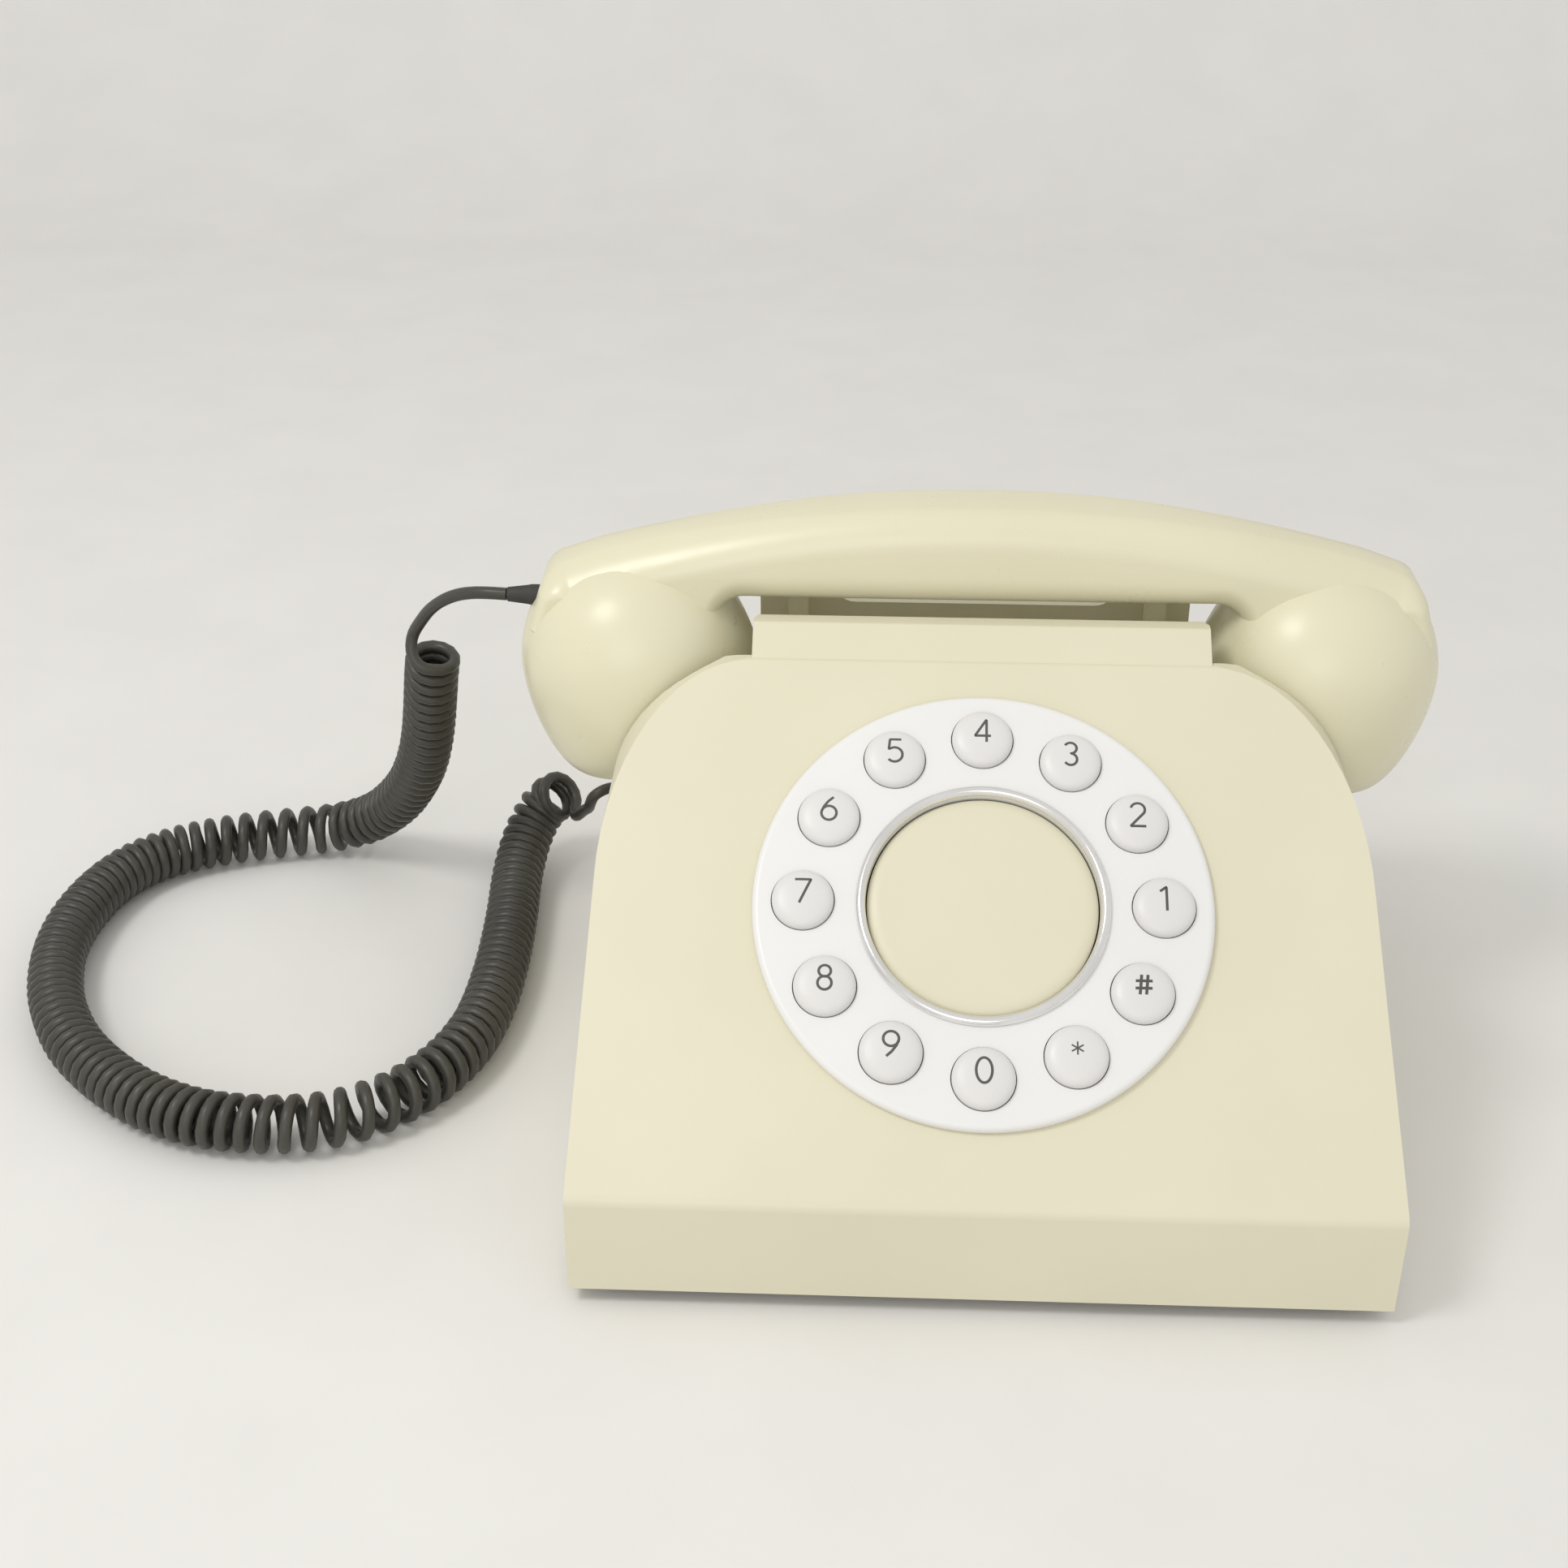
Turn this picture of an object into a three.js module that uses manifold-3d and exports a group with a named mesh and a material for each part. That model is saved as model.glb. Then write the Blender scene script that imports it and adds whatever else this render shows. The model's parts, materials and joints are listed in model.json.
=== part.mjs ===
// Desk telephone with a ring of twelve push buttons, a lift-off handset and a curly cord.
// Millimetres, +Z up, X to the right, Y to the back. The origin is on the table, under the
// middle of the telephone without its cord.
import * as THREE from 'three';
import { mergeVertices } from 'three/addons/utils/BufferGeometryUtils.js';
import Module from 'manifold-3d';

const wasm = await Module();
wasm.setup();

// ---------------------------------------------------------------- driving sizes
const GAP = 0.3;                 // clearance kept between pieces that touch
const BODY_WIDTH = 180;
const BODY_DEPTH = 178;
const SKIRT_CREASE = 28.5;       // height where the upright skirt turns into the sloping face
const CREASE_RADIUS = 3.6;
const FACE_ANGLE = 37.05 * Math.PI / 180;
const SHOULDER_TOP = 107.4;
const SHOULDER_RADIUS = 34.5;
const SIDE_TAPER = 1.6;          // how much each side leans in between the crease and the shoulder
const WALL = 2.5;
const FOOT_HEIGHT = 3.7;
const FOOT_RADIUS = 9;
const FLOOR_THICKNESS = 1.5;

const PLATFORM_TOP = 113.5;       // front rail of the cradle
const PLATFORM_HALF_WIDTH = 54.5;
const RAIL_BACK = 28.6;
const TROUGH_FLOOR = 84;
const CHANNEL_FLOOR = 50;        // floor under the handset's cups
const SHOULDER_SHELF = 3;        // flat strip behind the face's upper edge
const REAR_WALL_FRONT = 57.6;
const REAR_WALL_THICKNESS = 5.4;
const REAR_WALL_TOP = 111;
const REAR_WALL_DIP = 103.6;
const DIP_HALF_WIDTH = 33;
const HUMP_TOP = 82;
const HUMP_CLEARANCE = 3;

const DIAL_UP_SLOPE = 69.2;      // dial centre, measured up the face from the crease
const DIAL_MARGIN = 4.5;         // plate outside the ring of buttons
const DIAL_THICKNESS = 2;
const BUTTON_RADIUS = 7;
const BUTTON_PITCH_RADIUS = 40.5;
const BUTTON_RISE = 5;           // top of a button above the face
const BUTTON_TRAVEL = 2.5;
const BUTTON_NAMES = ['4', '3', '2', '1', 'hash', 'star', '0', '9', '8', '7', '6', '5'];
const CAP_RADIUS = 26.1;
const RING_HALF_WIDTH = 1.15;

const HANDSET_LENGTH = 227;
const HANDSET_Y = 41.5;
const HANDLE_DEPTH = 26;
const HANDLE_TOP = 138.5;
const HANDLE_UNDERSIDE = 114.8;
const HANDLE_CROWN_RADIUS = 343;
const NECK_HALF_GAP = 64.3;      // half the distance between the two necks
const CUP_TILT = 18.5 * Math.PI / 180;
const CUP_CENTRE_INSET = 36.4;   // mouth centre, in from the end of the handset
const CUP_MOUTH_HEIGHT = 73.4;
const CUP_RADIUS = 29.2;
const CUP_LENGTH = 52.4;
const CUP_WALL = 2.6;
const CUP_CLEARANCE = 1.5;
const CAP_DISC_RADIUS = 18.6;

const RELIEF_RADIUS = 2.6;       // strain relief where the lead leaves the handset
const RELIEF_REACH = 3;          // how far it stands out beyond the end of the handset
const RELIEF_DEPTH = 11;         // how far it is let into the handset

const PLUNGER_X = 44.5;
const PLUNGER_Y = 49;
const PLUNGER_WIDTH = 4.9;
const PLUNGER_DEPTH = 5;
const SLOT_CLEARANCE = 0.5;

const CORD_DIAMETER = 3.2;
const COIL_DIAMETER = 14.6;
const GLAND_Y = 82;
const GLAND_Z = 34;
const LEAD_HEIGHT = 111.4;       // the lead leaves the handset's end at this height
const GLAND_RADIUS = 4;
const GLAND_REACH = 3.4;         // how far the gland stands out of the housing's side

const PILLAR = 11;               // width of the pillars that take the base plate's screws
const PILLAR_HEIGHT = 14;
const SCREW_RADIUS = 1.6;
const SCREW_LENGTH = 10;
const KEYPAD_SCREW_RADIUS = 1.2;

const JACK_X = 30;               // socket for the line, in the back
const JACK_Z = 22;
const JACK_WIDTH = 15;
const JACK_HEIGHT = 13;
const JACK_DEPTH = 16;
const JACK_WALL = 2;

const GONG_X = 28;
const GONG_RADIUS = 21;
const GONG_BASE = 16;
const GONG_HEIGHT = 12;
const GONG_CLEARANCE = 2;
const GONG_WALL = 1.6;
const GONG_HOLE_RADIUS = 1.9;
const CLAPPER_PIVOT_Y = 30;
const CLAPPER_PIN_RADIUS = 1.2;

const BOARD_Z = 14;
const BOARD_THICKNESS = 1.6;

const HOOK_PIVOT_Y = 20;
const LEVER_Z = 66;
const LEVER_THICKNESS = 2;
const BRACKET_HALF = 22;
const BRACKET_SHEET = 2;         // thickness of the bracket's sheet metal
const HOOK_PIN_RADIUS = 1.2;

// ---------------------------------------------------------------- worked-out sizes
const HALF_WIDTH = BODY_WIDTH / 2;
const FRONT = -BODY_DEPTH / 2;
const REAR = BODY_DEPTH / 2;
const SLOPE = Math.tan(FACE_ANGLE);
const HOUSING_BOTTOM = FOOT_HEIGHT + GAP;
const BASE_TOP = HOUSING_BOTTOM + FLOOR_THICKNESS;
const SCREW_X = HALF_WIDTH - WALL - PILLAR / 2;
const SCREW_Y = BODY_DEPTH / 2 - WALL - PILLAR / 2;
const CORNERS = [[-1, -1], [1, -1], [-1, 1], [1, 1]];
const RINGER_Y = REAR - JACK_DEPTH - GONG_RADIUS - GONG_CLEARANCE;
const RINGER_PLATE_TOP = BASE_TOP + GAP + 2;
const GONG_TOP = GONG_BASE + GONG_HEIGHT;
const SHOULDER_Y = FRONT + (SHOULDER_TOP - SKIRT_CREASE) / SLOPE;
const CHANNEL_FRONT = SHOULDER_Y + SHOULDER_SHELF;
const CHANNEL_BACK = HANDSET_Y + CUP_RADIUS + HUMP_CLEARANCE;
const DIAL_Y = FRONT + DIAL_UP_SLOPE * Math.cos(FACE_ANGLE);
const DIAL_Z = SKIRT_CREASE + DIAL_UP_SLOPE * Math.sin(FACE_ANGLE);
const DIAL_RADIUS = BUTTON_PITCH_RADIUS + BUTTON_RADIUS + DIAL_MARGIN;
const FLANGE_RIM = 1;            // how far a button's flange reaches under the plate
const DIAL_HOLE_RADIUS = BUTTON_PITCH_RADIUS + BUTTON_RADIUS + FLANGE_RIM + 2 * GAP;
const CUP_X = HANDSET_LENGTH / 2 - CUP_CENTRE_INSET;
const HANDSET_END = HANDSET_LENGTH / 2;

// ---------------------------------------------------------------- geometry helpers
function toManifold(geometry) {
  const bare = geometry.clone();
  bare.deleteAttribute('normal');
  bare.deleteAttribute('uv');
  const merged = mergeVertices(bare, 1e-4);
  const vertProperties = new Float32Array(merged.attributes.position.array);
  const triVerts = new Uint32Array(merged.index.array);
  return new wasm.Manifold(new wasm.Mesh({ numProp: 3, vertProperties, triVerts }));
}

function toGeometry(manifold) {
  const mesh = manifold.getMesh();
  const geometry = new THREE.BufferGeometry();
  const places = new Float32Array(mesh.vertProperties);
  geometry.setAttribute('position', new THREE.BufferAttribute(places, 3));
  geometry.setIndex(new THREE.BufferAttribute(new Uint32Array(mesh.triVerts), 1));
  geometry.computeVertexNormals();
  return geometry;
}

function join(first, ...others) {
  return others.reduce((sum, other) => sum.add(toManifold(other)), solidOf(first));
}

function cut(first, ...others) {
  return others.reduce((rest, other) => rest.subtract(solidOf(other)), solidOf(first));
}

function solidOf(shape) {
  return shape.isBufferGeometry ? toManifold(shape) : shape;
}

// A box between two places in X and two in Y, each pair in either order.
function box(xa, xb, ya, yb, z0, z1) {
  const geometry = new THREE.BoxGeometry(Math.abs(xb - xa), Math.abs(yb - ya), z1 - z0);
  return geometry.translate((xa + xb) / 2, (ya + yb) / 2, (z0 + z1) / 2);
}

// A box centred on a place in X and Y.
function boxAt(x, y, width, depth, z0, z1) {
  return box(x - width / 2, x + width / 2, y - depth / 2, y + depth / 2, z0, z1);
}

function cylinderZ(radius, x, y, z0, z1, sides = 24) {
  const geometry = new THREE.CylinderGeometry(radius, radius, z1 - z0, sides);
  return geometry.rotateX(Math.PI / 2).translate(x, y, (z0 + z1) / 2);
}

function cylinderX(radius, x0, x1, y, z, sides = 20) {
  const geometry = new THREE.CylinderGeometry(radius, radius, x1 - x0, sides);
  return geometry.rotateZ(-Math.PI / 2).translate((x0 + x1) / 2, y, z);
}

// A body of revolution about Z, from [radius, height] pairs that start and end on the axis.
function turned(profile, sides = 32) {
  const points = profile.map(([radius, height]) => new THREE.Vector2(radius, height));
  return new THREE.LatheGeometry(points, sides).rotateX(Math.PI / 2);
}

// A closed outline from [u, v, radius] corners, each corner rounded with a tangent arc.
function roundedOutline(corners, steps = 4) {
  const outline = [];
  corners.forEach(([u, v, radius = 0], index) => {
    const corner = new THREE.Vector2(u, v);
    const before = corners[(index + corners.length - 1) % corners.length];
    const after = corners[(index + 1) % corners.length];
    const back = new THREE.Vector2(before[0], before[1]).sub(corner);
    const ahead = new THREE.Vector2(after[0], after[1]).sub(corner);
    const turn = Math.acos(back.clone().normalize().dot(ahead.clone().normalize()));
    const reach = radius > 0 ? radius / Math.tan(turn / 2) : 0;
    if (reach < 1e-6) {
      outline.push(corner);
      return;
    }
    const start = corner.clone().addScaledVector(back.normalize(), reach);
    const end = corner.clone().addScaledVector(ahead.normalize(), reach);
    outline.push(...arcBetween(start, corner, end, radius, steps));
  });
  return outline;
}

function arcBetween(start, corner, end, radius, steps) {
  const middle = start.clone().add(end).multiplyScalar(0.5);
  const toCorner = corner.clone().sub(middle).normalize();
  const halfChord = start.distanceTo(end) / 2;
  const drop = Math.sqrt(Math.max(radius * radius - halfChord * halfChord, 0));
  const centre = middle.clone().addScaledVector(toCorner, -drop);
  const from = start.clone().sub(centre).angle();
  const toStart = start.clone().sub(centre);
  const toEnd = end.clone().sub(centre);
  const sweep = Math.atan2(toStart.cross(toEnd), toStart.dot(toEnd));
  const points = [];
  for (let step = 0; step <= steps; step += 1) {
    const angle = from + sweep * step / steps;
    const along = new THREE.Vector2(Math.cos(angle), Math.sin(angle));
    points.push(centre.clone().addScaledVector(along, radius));
  }
  return points;
}

// An outline drawn in X and Z, extruded from y0 to y1.
// Its edges are rounded inwards by the bevel, over the bevel's depth.
function extrudeAlongY(outline, y0, y1, bevel = 0, bevelDepth = bevel) {
  const shape = new THREE.Shape(outline);
  const settings = { depth: y1 - y0 - 2 * bevelDepth, bevelEnabled: bevel > 0 };
  if (bevel > 0) {
    Object.assign(settings, {
      bevelSize: bevel, bevelThickness: bevelDepth, bevelOffset: -bevel, bevelSegments: 4,
    });
  }
  const geometry = new THREE.ExtrudeGeometry(shape, settings);
  return geometry.rotateX(Math.PI / 2).translate(0, y1 - bevelDepth, 0);
}

// An outline drawn in Y and Z, extruded from x0 to x1.
function extrudeAlongX(outline, x0, x1) {
  const settings = { depth: x1 - x0, bevelEnabled: false };
  const geometry = new THREE.ExtrudeGeometry(new THREE.Shape(outline), settings);
  const turn = new THREE.Matrix4().makeBasis(
    new THREE.Vector3(0, 1, 0), new THREE.Vector3(0, 0, 1), new THREE.Vector3(1, 0, 0));
  return geometry.applyMatrix4(turn).translate(x0, 0, 0);
}

// A round tube along a smooth curve through the points.
function tube(points, diameter, stepLength, sides) {
  const curve = new THREE.CatmullRomCurve3(points.map((point) => new THREE.Vector3(...point)));
  const section = new THREE.Shape();
  for (let side = 0; side < sides; side += 1) {
    const angle = 2 * Math.PI * side / sides;
    const x = Math.cos(angle) * diameter / 2;
    const y = Math.sin(angle) * diameter / 2;
    if (side === 0) {
      section.moveTo(x, y);
    } else {
      section.lineTo(x, y);
    }
  }
  const steps = Math.ceil(curve.getLength() / stepLength);
  return new THREE.ExtrudeGeometry(section, { steps, extrudePath: curve, bevelEnabled: false });
}

// ---------------------------------------------------------------- materials
function plastic(color, roughness = 0.4) {
  return new THREE.MeshStandardMaterial({ color, roughness, metalness: 0 });
}

function metal(color, roughness = 0.3) {
  return new THREE.MeshStandardMaterial({ color, roughness, metalness: 1 });
}

const finish = {
  body: plastic(0xe3ddc4, 0.38),
  handset: plastic(0xe2dcbc, 0.36),
  dial: plastic(0xf0efec, 0.35),
  button: plastic(0xe4e2de, 0.4),
  chrome: metal(0xd8d8d8, 0.15),
  steel: metal(0xa9abad, 0.4),
  brass: metal(0xc9a24c, 0.3),
  rubber: plastic(0x3a3935, 0.7),
  cord: plastic(0x46433c, 0.5),
  board: plastic(0x3f6b47, 0.6),
  black: plastic(0x222222, 0.5),
  copper: metal(0xb06a3b, 0.45),
};

const telephone = new THREE.Group();
const dial = new THREE.Group();
dial.position.set(0, DIAL_Y, DIAL_Z);
dial.rotation.x = FACE_ANGLE;
telephone.add(dial);

function piece(name, shape, material, parent = telephone) {
  const geometry = shape.isBufferGeometry ? shape : toGeometry(shape);
  const mesh = new THREE.Mesh(geometry, material);
  mesh.name = name;
  parent.add(mesh);
  return mesh;
}

// ---------------------------------------------------------------- housing
// Where the sloping face, moved in by the inset, reaches a height.
function slopeY(height, inset) {
  return FRONT + (height - SKIRT_CREASE + inset / Math.cos(FACE_ANGLE)) / SLOPE;
}

// How high the sloping face, moved in by the inset, is at a place along Y.
function slopeZ(y, inset) {
  return SKIRT_CREASE + (y - FRONT) * SLOPE - inset / Math.cos(FACE_ANGLE);
}

// The body seen from the front: upright sides that lean in a little, and round shoulders.
function frontOutline(inset, bottom) {
  const sideTop = SHOULDER_TOP - SHOULDER_RADIUS;
  const upperHalf = HALF_WIDTH - SIDE_TAPER - inset;
  const centreX = HALF_WIDTH - SIDE_TAPER - SHOULDER_RADIUS;
  const radius = SHOULDER_RADIUS - inset;
  const steps = 14;
  const rightShoulder = [];
  for (let step = 0; step <= steps; step += 1) {
    const angle = Math.PI / 2 * step / steps;
    rightShoulder.push([centreX + radius * Math.cos(angle), sideTop + radius * Math.sin(angle)]);
  }
  const leftShoulder = rightShoulder.map(([x, z]) => [-x, z]).reverse();
  const lowerHalf = HALF_WIDTH - inset;
  const corners = [[-lowerHalf, bottom], [lowerHalf, bottom], [lowerHalf, SKIRT_CREASE],
    [upperHalf, sideTop], ...rightShoulder.slice(1), ...leftShoulder.slice(0, -1),
    [-upperHalf, sideTop], [-lowerHalf, SKIRT_CREASE]];
  return corners.map(([x, z]) => new THREE.Vector2(x, z));
}

// The body seen from the side: skirt, face, shoulder, the channel for the cups and the hump.
function sideOutline(inset, bottom) {
  const creaseZ = slopeZ(FRONT + inset, inset);
  const channelFront = CHANNEL_FRONT - inset;
  const top = Math.min(SHOULDER_TOP - inset, slopeZ(channelFront - SHOULDER_SHELF, inset));
  return roundedOutline([
    [FRONT + inset, bottom],
    [FRONT + inset, creaseZ, CREASE_RADIUS - inset],
    [slopeY(top, inset), top, inset > 0 ? 0 : 1.5],
    [channelFront, top, inset > 0 ? 0 : 1],
    [channelFront, CHANNEL_FLOOR - inset, inset > 0 ? 0 : 5],
    [CHANNEL_BACK + inset, CHANNEL_FLOOR - inset, inset > 0 ? 0 : 5],
    [CHANNEL_BACK + inset, HUMP_TOP - inset, inset > 0 ? 0 : 2],
    [REAR - 9 - inset, HUMP_TOP - inset, inset > 0 ? 0 : 5],
    [REAR - inset, HUMP_TOP - 26, 8],
    [REAR - inset, bottom],
  ].reverse());
}

// The middle of the cradle seen from the side: front rail, trough and rear wall.
function cradleOutline() {
  return roundedOutline([
    [slopeY(CHANNEL_FLOOR, WALL), CHANNEL_FLOOR - WALL],
    [slopeY(PLATFORM_TOP, 0), PLATFORM_TOP, 1.2],
    [RAIL_BACK, PLATFORM_TOP, 1.2],
    [RAIL_BACK, TROUGH_FLOOR, 2],
    [REAR_WALL_FRONT, TROUGH_FLOOR, 2],
    [REAR_WALL_FRONT, REAR_WALL_TOP, 1.5],
    [REAR_WALL_FRONT + REAR_WALL_THICKNESS, REAR_WALL_TOP, 1.5],
    [REAR_WALL_FRONT + REAR_WALL_THICKNESS, HUMP_TOP],
    [CHANNEL_BACK + WALL / 2, HUMP_TOP],
    [CHANNEL_BACK + WALL / 2, CHANNEL_FLOOR - WALL],
  ].reverse());
}

// The space under the trough and inside the front rail.
function cradleHollow() {
  const outline = [
    [slopeY(CHANNEL_FLOOR, WALL), CHANNEL_FLOOR - 2 * WALL],
    [slopeY(PLATFORM_TOP - WALL, WALL), PLATFORM_TOP - WALL],
    [RAIL_BACK - WALL, PLATFORM_TOP - WALL],
    [RAIL_BACK - WALL, TROUGH_FLOOR - WALL],
    [CHANNEL_BACK + 2 * WALL, TROUGH_FLOOR - 2 * WALL - 1],
    [CHANNEL_BACK + 2 * WALL, CHANNEL_FLOOR - 2 * WALL],
  ].reverse().map(([y, z]) => new THREE.Vector2(y, z));
  const half = PLATFORM_HALF_WIDTH - WALL;
  return cut(extrudeAlongX(outline, -half, half), cupWell(-1, WALL), cupWell(1, WALL));
}

function bodySolid(inset, bottom) {
  const front = toManifold(extrudeAlongY(frontOutline(inset, bottom), FRONT, REAR));
  const side = toManifold(extrudeAlongX(sideOutline(inset, bottom), -HALF_WIDTH, HALF_WIDTH));
  return front.intersect(side);
}

// The upright well that a cup of the handset drops into, grown by a wall's thickness or not.
function cupWell(side, grow = 0) {
  const around = (radius, x) => cylinderZ(radius + CUP_CLEARANCE + grow, side * x, HANDSET_Y,
    CHANNEL_FLOOR - grow, HANDLE_TOP, 36);
  return join(around(CUP_RADIUS - 1, CUP_X + 2.5), around(CUP_RADIUS, CUP_X + 6.8));
}

// The dip in the middle of the cradle's rear wall.
function rearWallDip() {
  const outline = roundedOutline([
    [-DIP_HALF_WIDTH - 8, REAR_WALL_TOP + 2], [-DIP_HALF_WIDTH, REAR_WALL_DIP, 6],
    [DIP_HALF_WIDTH, REAR_WALL_DIP, 6], [DIP_HALF_WIDTH + 8, REAR_WALL_TOP + 2],
  ]);
  return extrudeAlongY(outline, REAR_WALL_FRONT - 2, REAR_WALL_FRONT + REAR_WALL_THICKNESS + 2);
}

function plungerSlot(side) {
  return boxAt(side * PLUNGER_X, PLUNGER_Y, PLUNGER_WIDTH + 2 * SLOT_CLEARANCE,
    PLUNGER_DEPTH + 2 * SLOT_CLEARANCE, TROUGH_FLOOR - 2 * WALL, TROUGH_FLOOR + WALL);
}

// The line jack's block between two places in Y, its sides moved out by the growth.
function jackBlock(growth, y0, y1) {
  return box(JACK_X - JACK_WIDTH / 2 - growth, JACK_X + JACK_WIDTH / 2 + growth, y0, y1,
    JACK_Z - JACK_HEIGHT / 2 - growth, JACK_Z + JACK_HEIGHT / 2 + growth);
}

function screwPillars() {
  const inward = PILLAR / 2;
  const outward = PILLAR / 2 + WALL / 2;
  return CORNERS.map(([sx, sy]) => box(
    sx * (SCREW_X - inward), sx * (SCREW_X + outward),
    sy * (SCREW_Y - inward), sy * (SCREW_Y + outward),
    BASE_TOP + GAP, HOUSING_BOTTOM + PILLAR_HEIGHT));
}

// Clearance holes for the base screws, between two heights.
function screwHoles(z0, z1) {
  return CORNERS.map(([sx, sy]) => cylinderZ(
    SCREW_RADIUS + GAP, sx * SCREW_X, sy * SCREW_Y, z0, z1, 16));
}

function housing() {
  const cradle = extrudeAlongX(cradleOutline(), -PLATFORM_HALF_WIDTH, PLATFORM_HALF_WIDTH);
  const outer = bodySolid(0, HOUSING_BOTTOM).add(toManifold(cradle));
  const inside = cut(bodySolid(WALL, HOUSING_BOTTOM - 1), cupWell(-1, WALL), cupWell(1, WALL));
  const dialHole = cylinderZ(DIAL_HOLE_RADIUS, 0, 0, -4 * WALL, 1, 48)
    .rotateX(FACE_ANGLE).translate(0, DIAL_Y, DIAL_Z);
  const glandHole = cylinderX(GLAND_RADIUS + GAP, -HALF_WIDTH - 2, -HALF_WIDTH + 2 * WALL + 2,
    GLAND_Y, GLAND_Z);
  const jackHole = jackBlock(GAP, REAR - 2 * WALL, REAR + 1);
  const shell = cut(outer, cupWell(-1), cupWell(1), rearWallDip(), inside, cradleHollow(), dialHole,
    plungerSlot(-1), plungerSlot(1), glandHole, jackHole);
  return cut(join(shell, ...screwPillars()), ...screwHoles(HOUSING_BOTTOM, HOUSING_BOTTOM + 11));
}
piece('housing', housing(), finish.body);

// ---------------------------------------------------------------- base
const board = { half: 55, y0: -72, y1: -18 };

function boardStandoff(x, y) {
  return cylinderZ(2.5, x, y, BASE_TOP - 0.5, BOARD_Z - GAP, 12);
}

function basePlate() {
  const halfWidth = HALF_WIDTH - WALL - GAP;
  const halfDepth = BODY_DEPTH / 2 - WALL - GAP;
  const plate = box(-halfWidth, halfWidth, -halfDepth, halfDepth, HOUSING_BOTTOM, BASE_TOP);
  const standoffs = [-1, 1].flatMap((side) => [
    boardStandoff(side * (board.half - 5), board.y0 + 5),
    boardStandoff(side * (board.half - 5), board.y1 - 5),
  ]);
  return cut(join(plate, ...standoffs), ...screwHoles(HOUSING_BOTTOM - 1, BASE_TOP + 1));
}
piece('base_plate', basePlate(), finish.steel);

function rubberFoot() {
  return turned([[0, 0], [FOOT_RADIUS - 0.8, 0], [FOOT_RADIUS, 0.8], [FOOT_RADIUS, FOOT_HEIGHT],
    [0, FOOT_HEIGHT]], 24);
}

// A pan-head screw that points up, its head's seat and its tip at these heights.
function screwUp(radius, headRadius, headHeight, seat, tip) {
  return turned([[0, seat - headHeight], [headRadius - 0.4, seat - headHeight + 0.3], [headRadius, seat],
    [radius, seat], [radius, tip], [0, tip]], 12);
}

CORNERS.forEach(([sx, sy], index) => {
  const foot = piece(`rubber_foot_${index + 1}`, rubberFoot(), finish.rubber);
  foot.position.set(sx * (HALF_WIDTH - 24), sy * (BODY_DEPTH / 2 - 26), 0);
  const shape = screwUp(SCREW_RADIUS, 3, 1.7, HOUSING_BOTTOM - GAP, HOUSING_BOTTOM + SCREW_LENGTH);
  const screw = piece(`base_screw_${index + 1}`, shape, finish.steel);
  screw.position.set(sx * SCREW_X, sy * SCREW_Y, 0);
});

piece('main_board', box(-board.half, board.half, board.y0, board.y1, BOARD_Z, BOARD_Z + BOARD_THICKNESS),
  finish.board);
piece('line_jack', cut(jackBlock(0, REAR - JACK_DEPTH, REAR),
  jackBlock(-JACK_WALL, REAR - JACK_DEPTH + 3, REAR + 1)), finish.black);

// ---------------------------------------------------------------- ringer
function ringerFrame() {
  const plate = box(-GONG_X - 6, GONG_X + 6, 12, RINGER_Y + 8, RINGER_PLATE_TOP - 2, RINGER_PLATE_TOP);
  const posts = [-1, 1].map((side) => cylinderZ(
    3.2, side * GONG_X, RINGER_Y, RINGER_PLATE_TOP - 1, GONG_TOP - GONG_WALL - 2 * GAP, 16));
  const pivot = cylinderZ(3, 0, CLAPPER_PIVOT_Y, RINGER_PLATE_TOP - 1, GONG_BASE - GAP, 16);
  const pin = cylinderZ(CLAPPER_PIN_RADIUS, 0, CLAPPER_PIVOT_Y, GONG_BASE - 1, GONG_BASE + 5, 16);
  return join(plate, ...posts, pivot, pin);
}
piece('ringer_frame', ringerFrame(), finish.steel);

// A bell's profile: its inside from the middle to the rim, then its outside back to the middle.
function gong() {
  const bell = turned([[0, GONG_TOP - GONG_WALL], [GONG_RADIUS * 0.6, GONG_TOP - 2.4],
    [GONG_RADIUS * 0.88, GONG_TOP - 5.6], [GONG_RADIUS - 1.5, GONG_BASE], [GONG_RADIUS, GONG_BASE],
    [GONG_RADIUS * 0.95, GONG_TOP - 4.6], [GONG_RADIUS * 0.65, GONG_TOP - 0.7], [0, GONG_TOP]], 24);
  return cut(bell, cylinderZ(GONG_HOLE_RADIUS, 0, 0, GONG_BASE, GONG_TOP + 2, 16));
}

function gongScrew() {
  const shank = GONG_HOLE_RADIUS - 1.5 * GAP;
  return turned([[0, GONG_TOP - 1.5], [shank, GONG_TOP - 1.5], [shank, GONG_TOP + GAP],
    [3.4, GONG_TOP + GAP], [3, GONG_TOP + 2], [0, GONG_TOP + 2.3]], 16);
}

[['left', -1], ['right', 1]].forEach(([label, side]) => {
  piece(`gong_${label}`, gong(), finish.brass).position.set(side * GONG_X, RINGER_Y, 0);
  piece(`gong_screw_${label}`, gongScrew(), finish.steel).position.set(side * GONG_X, RINGER_Y, 0);
});
piece('ringer_coil', cylinderX(6, -11, 11, 18, RINGER_PLATE_TOP + GAP + 6, 24), finish.copper);

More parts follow.
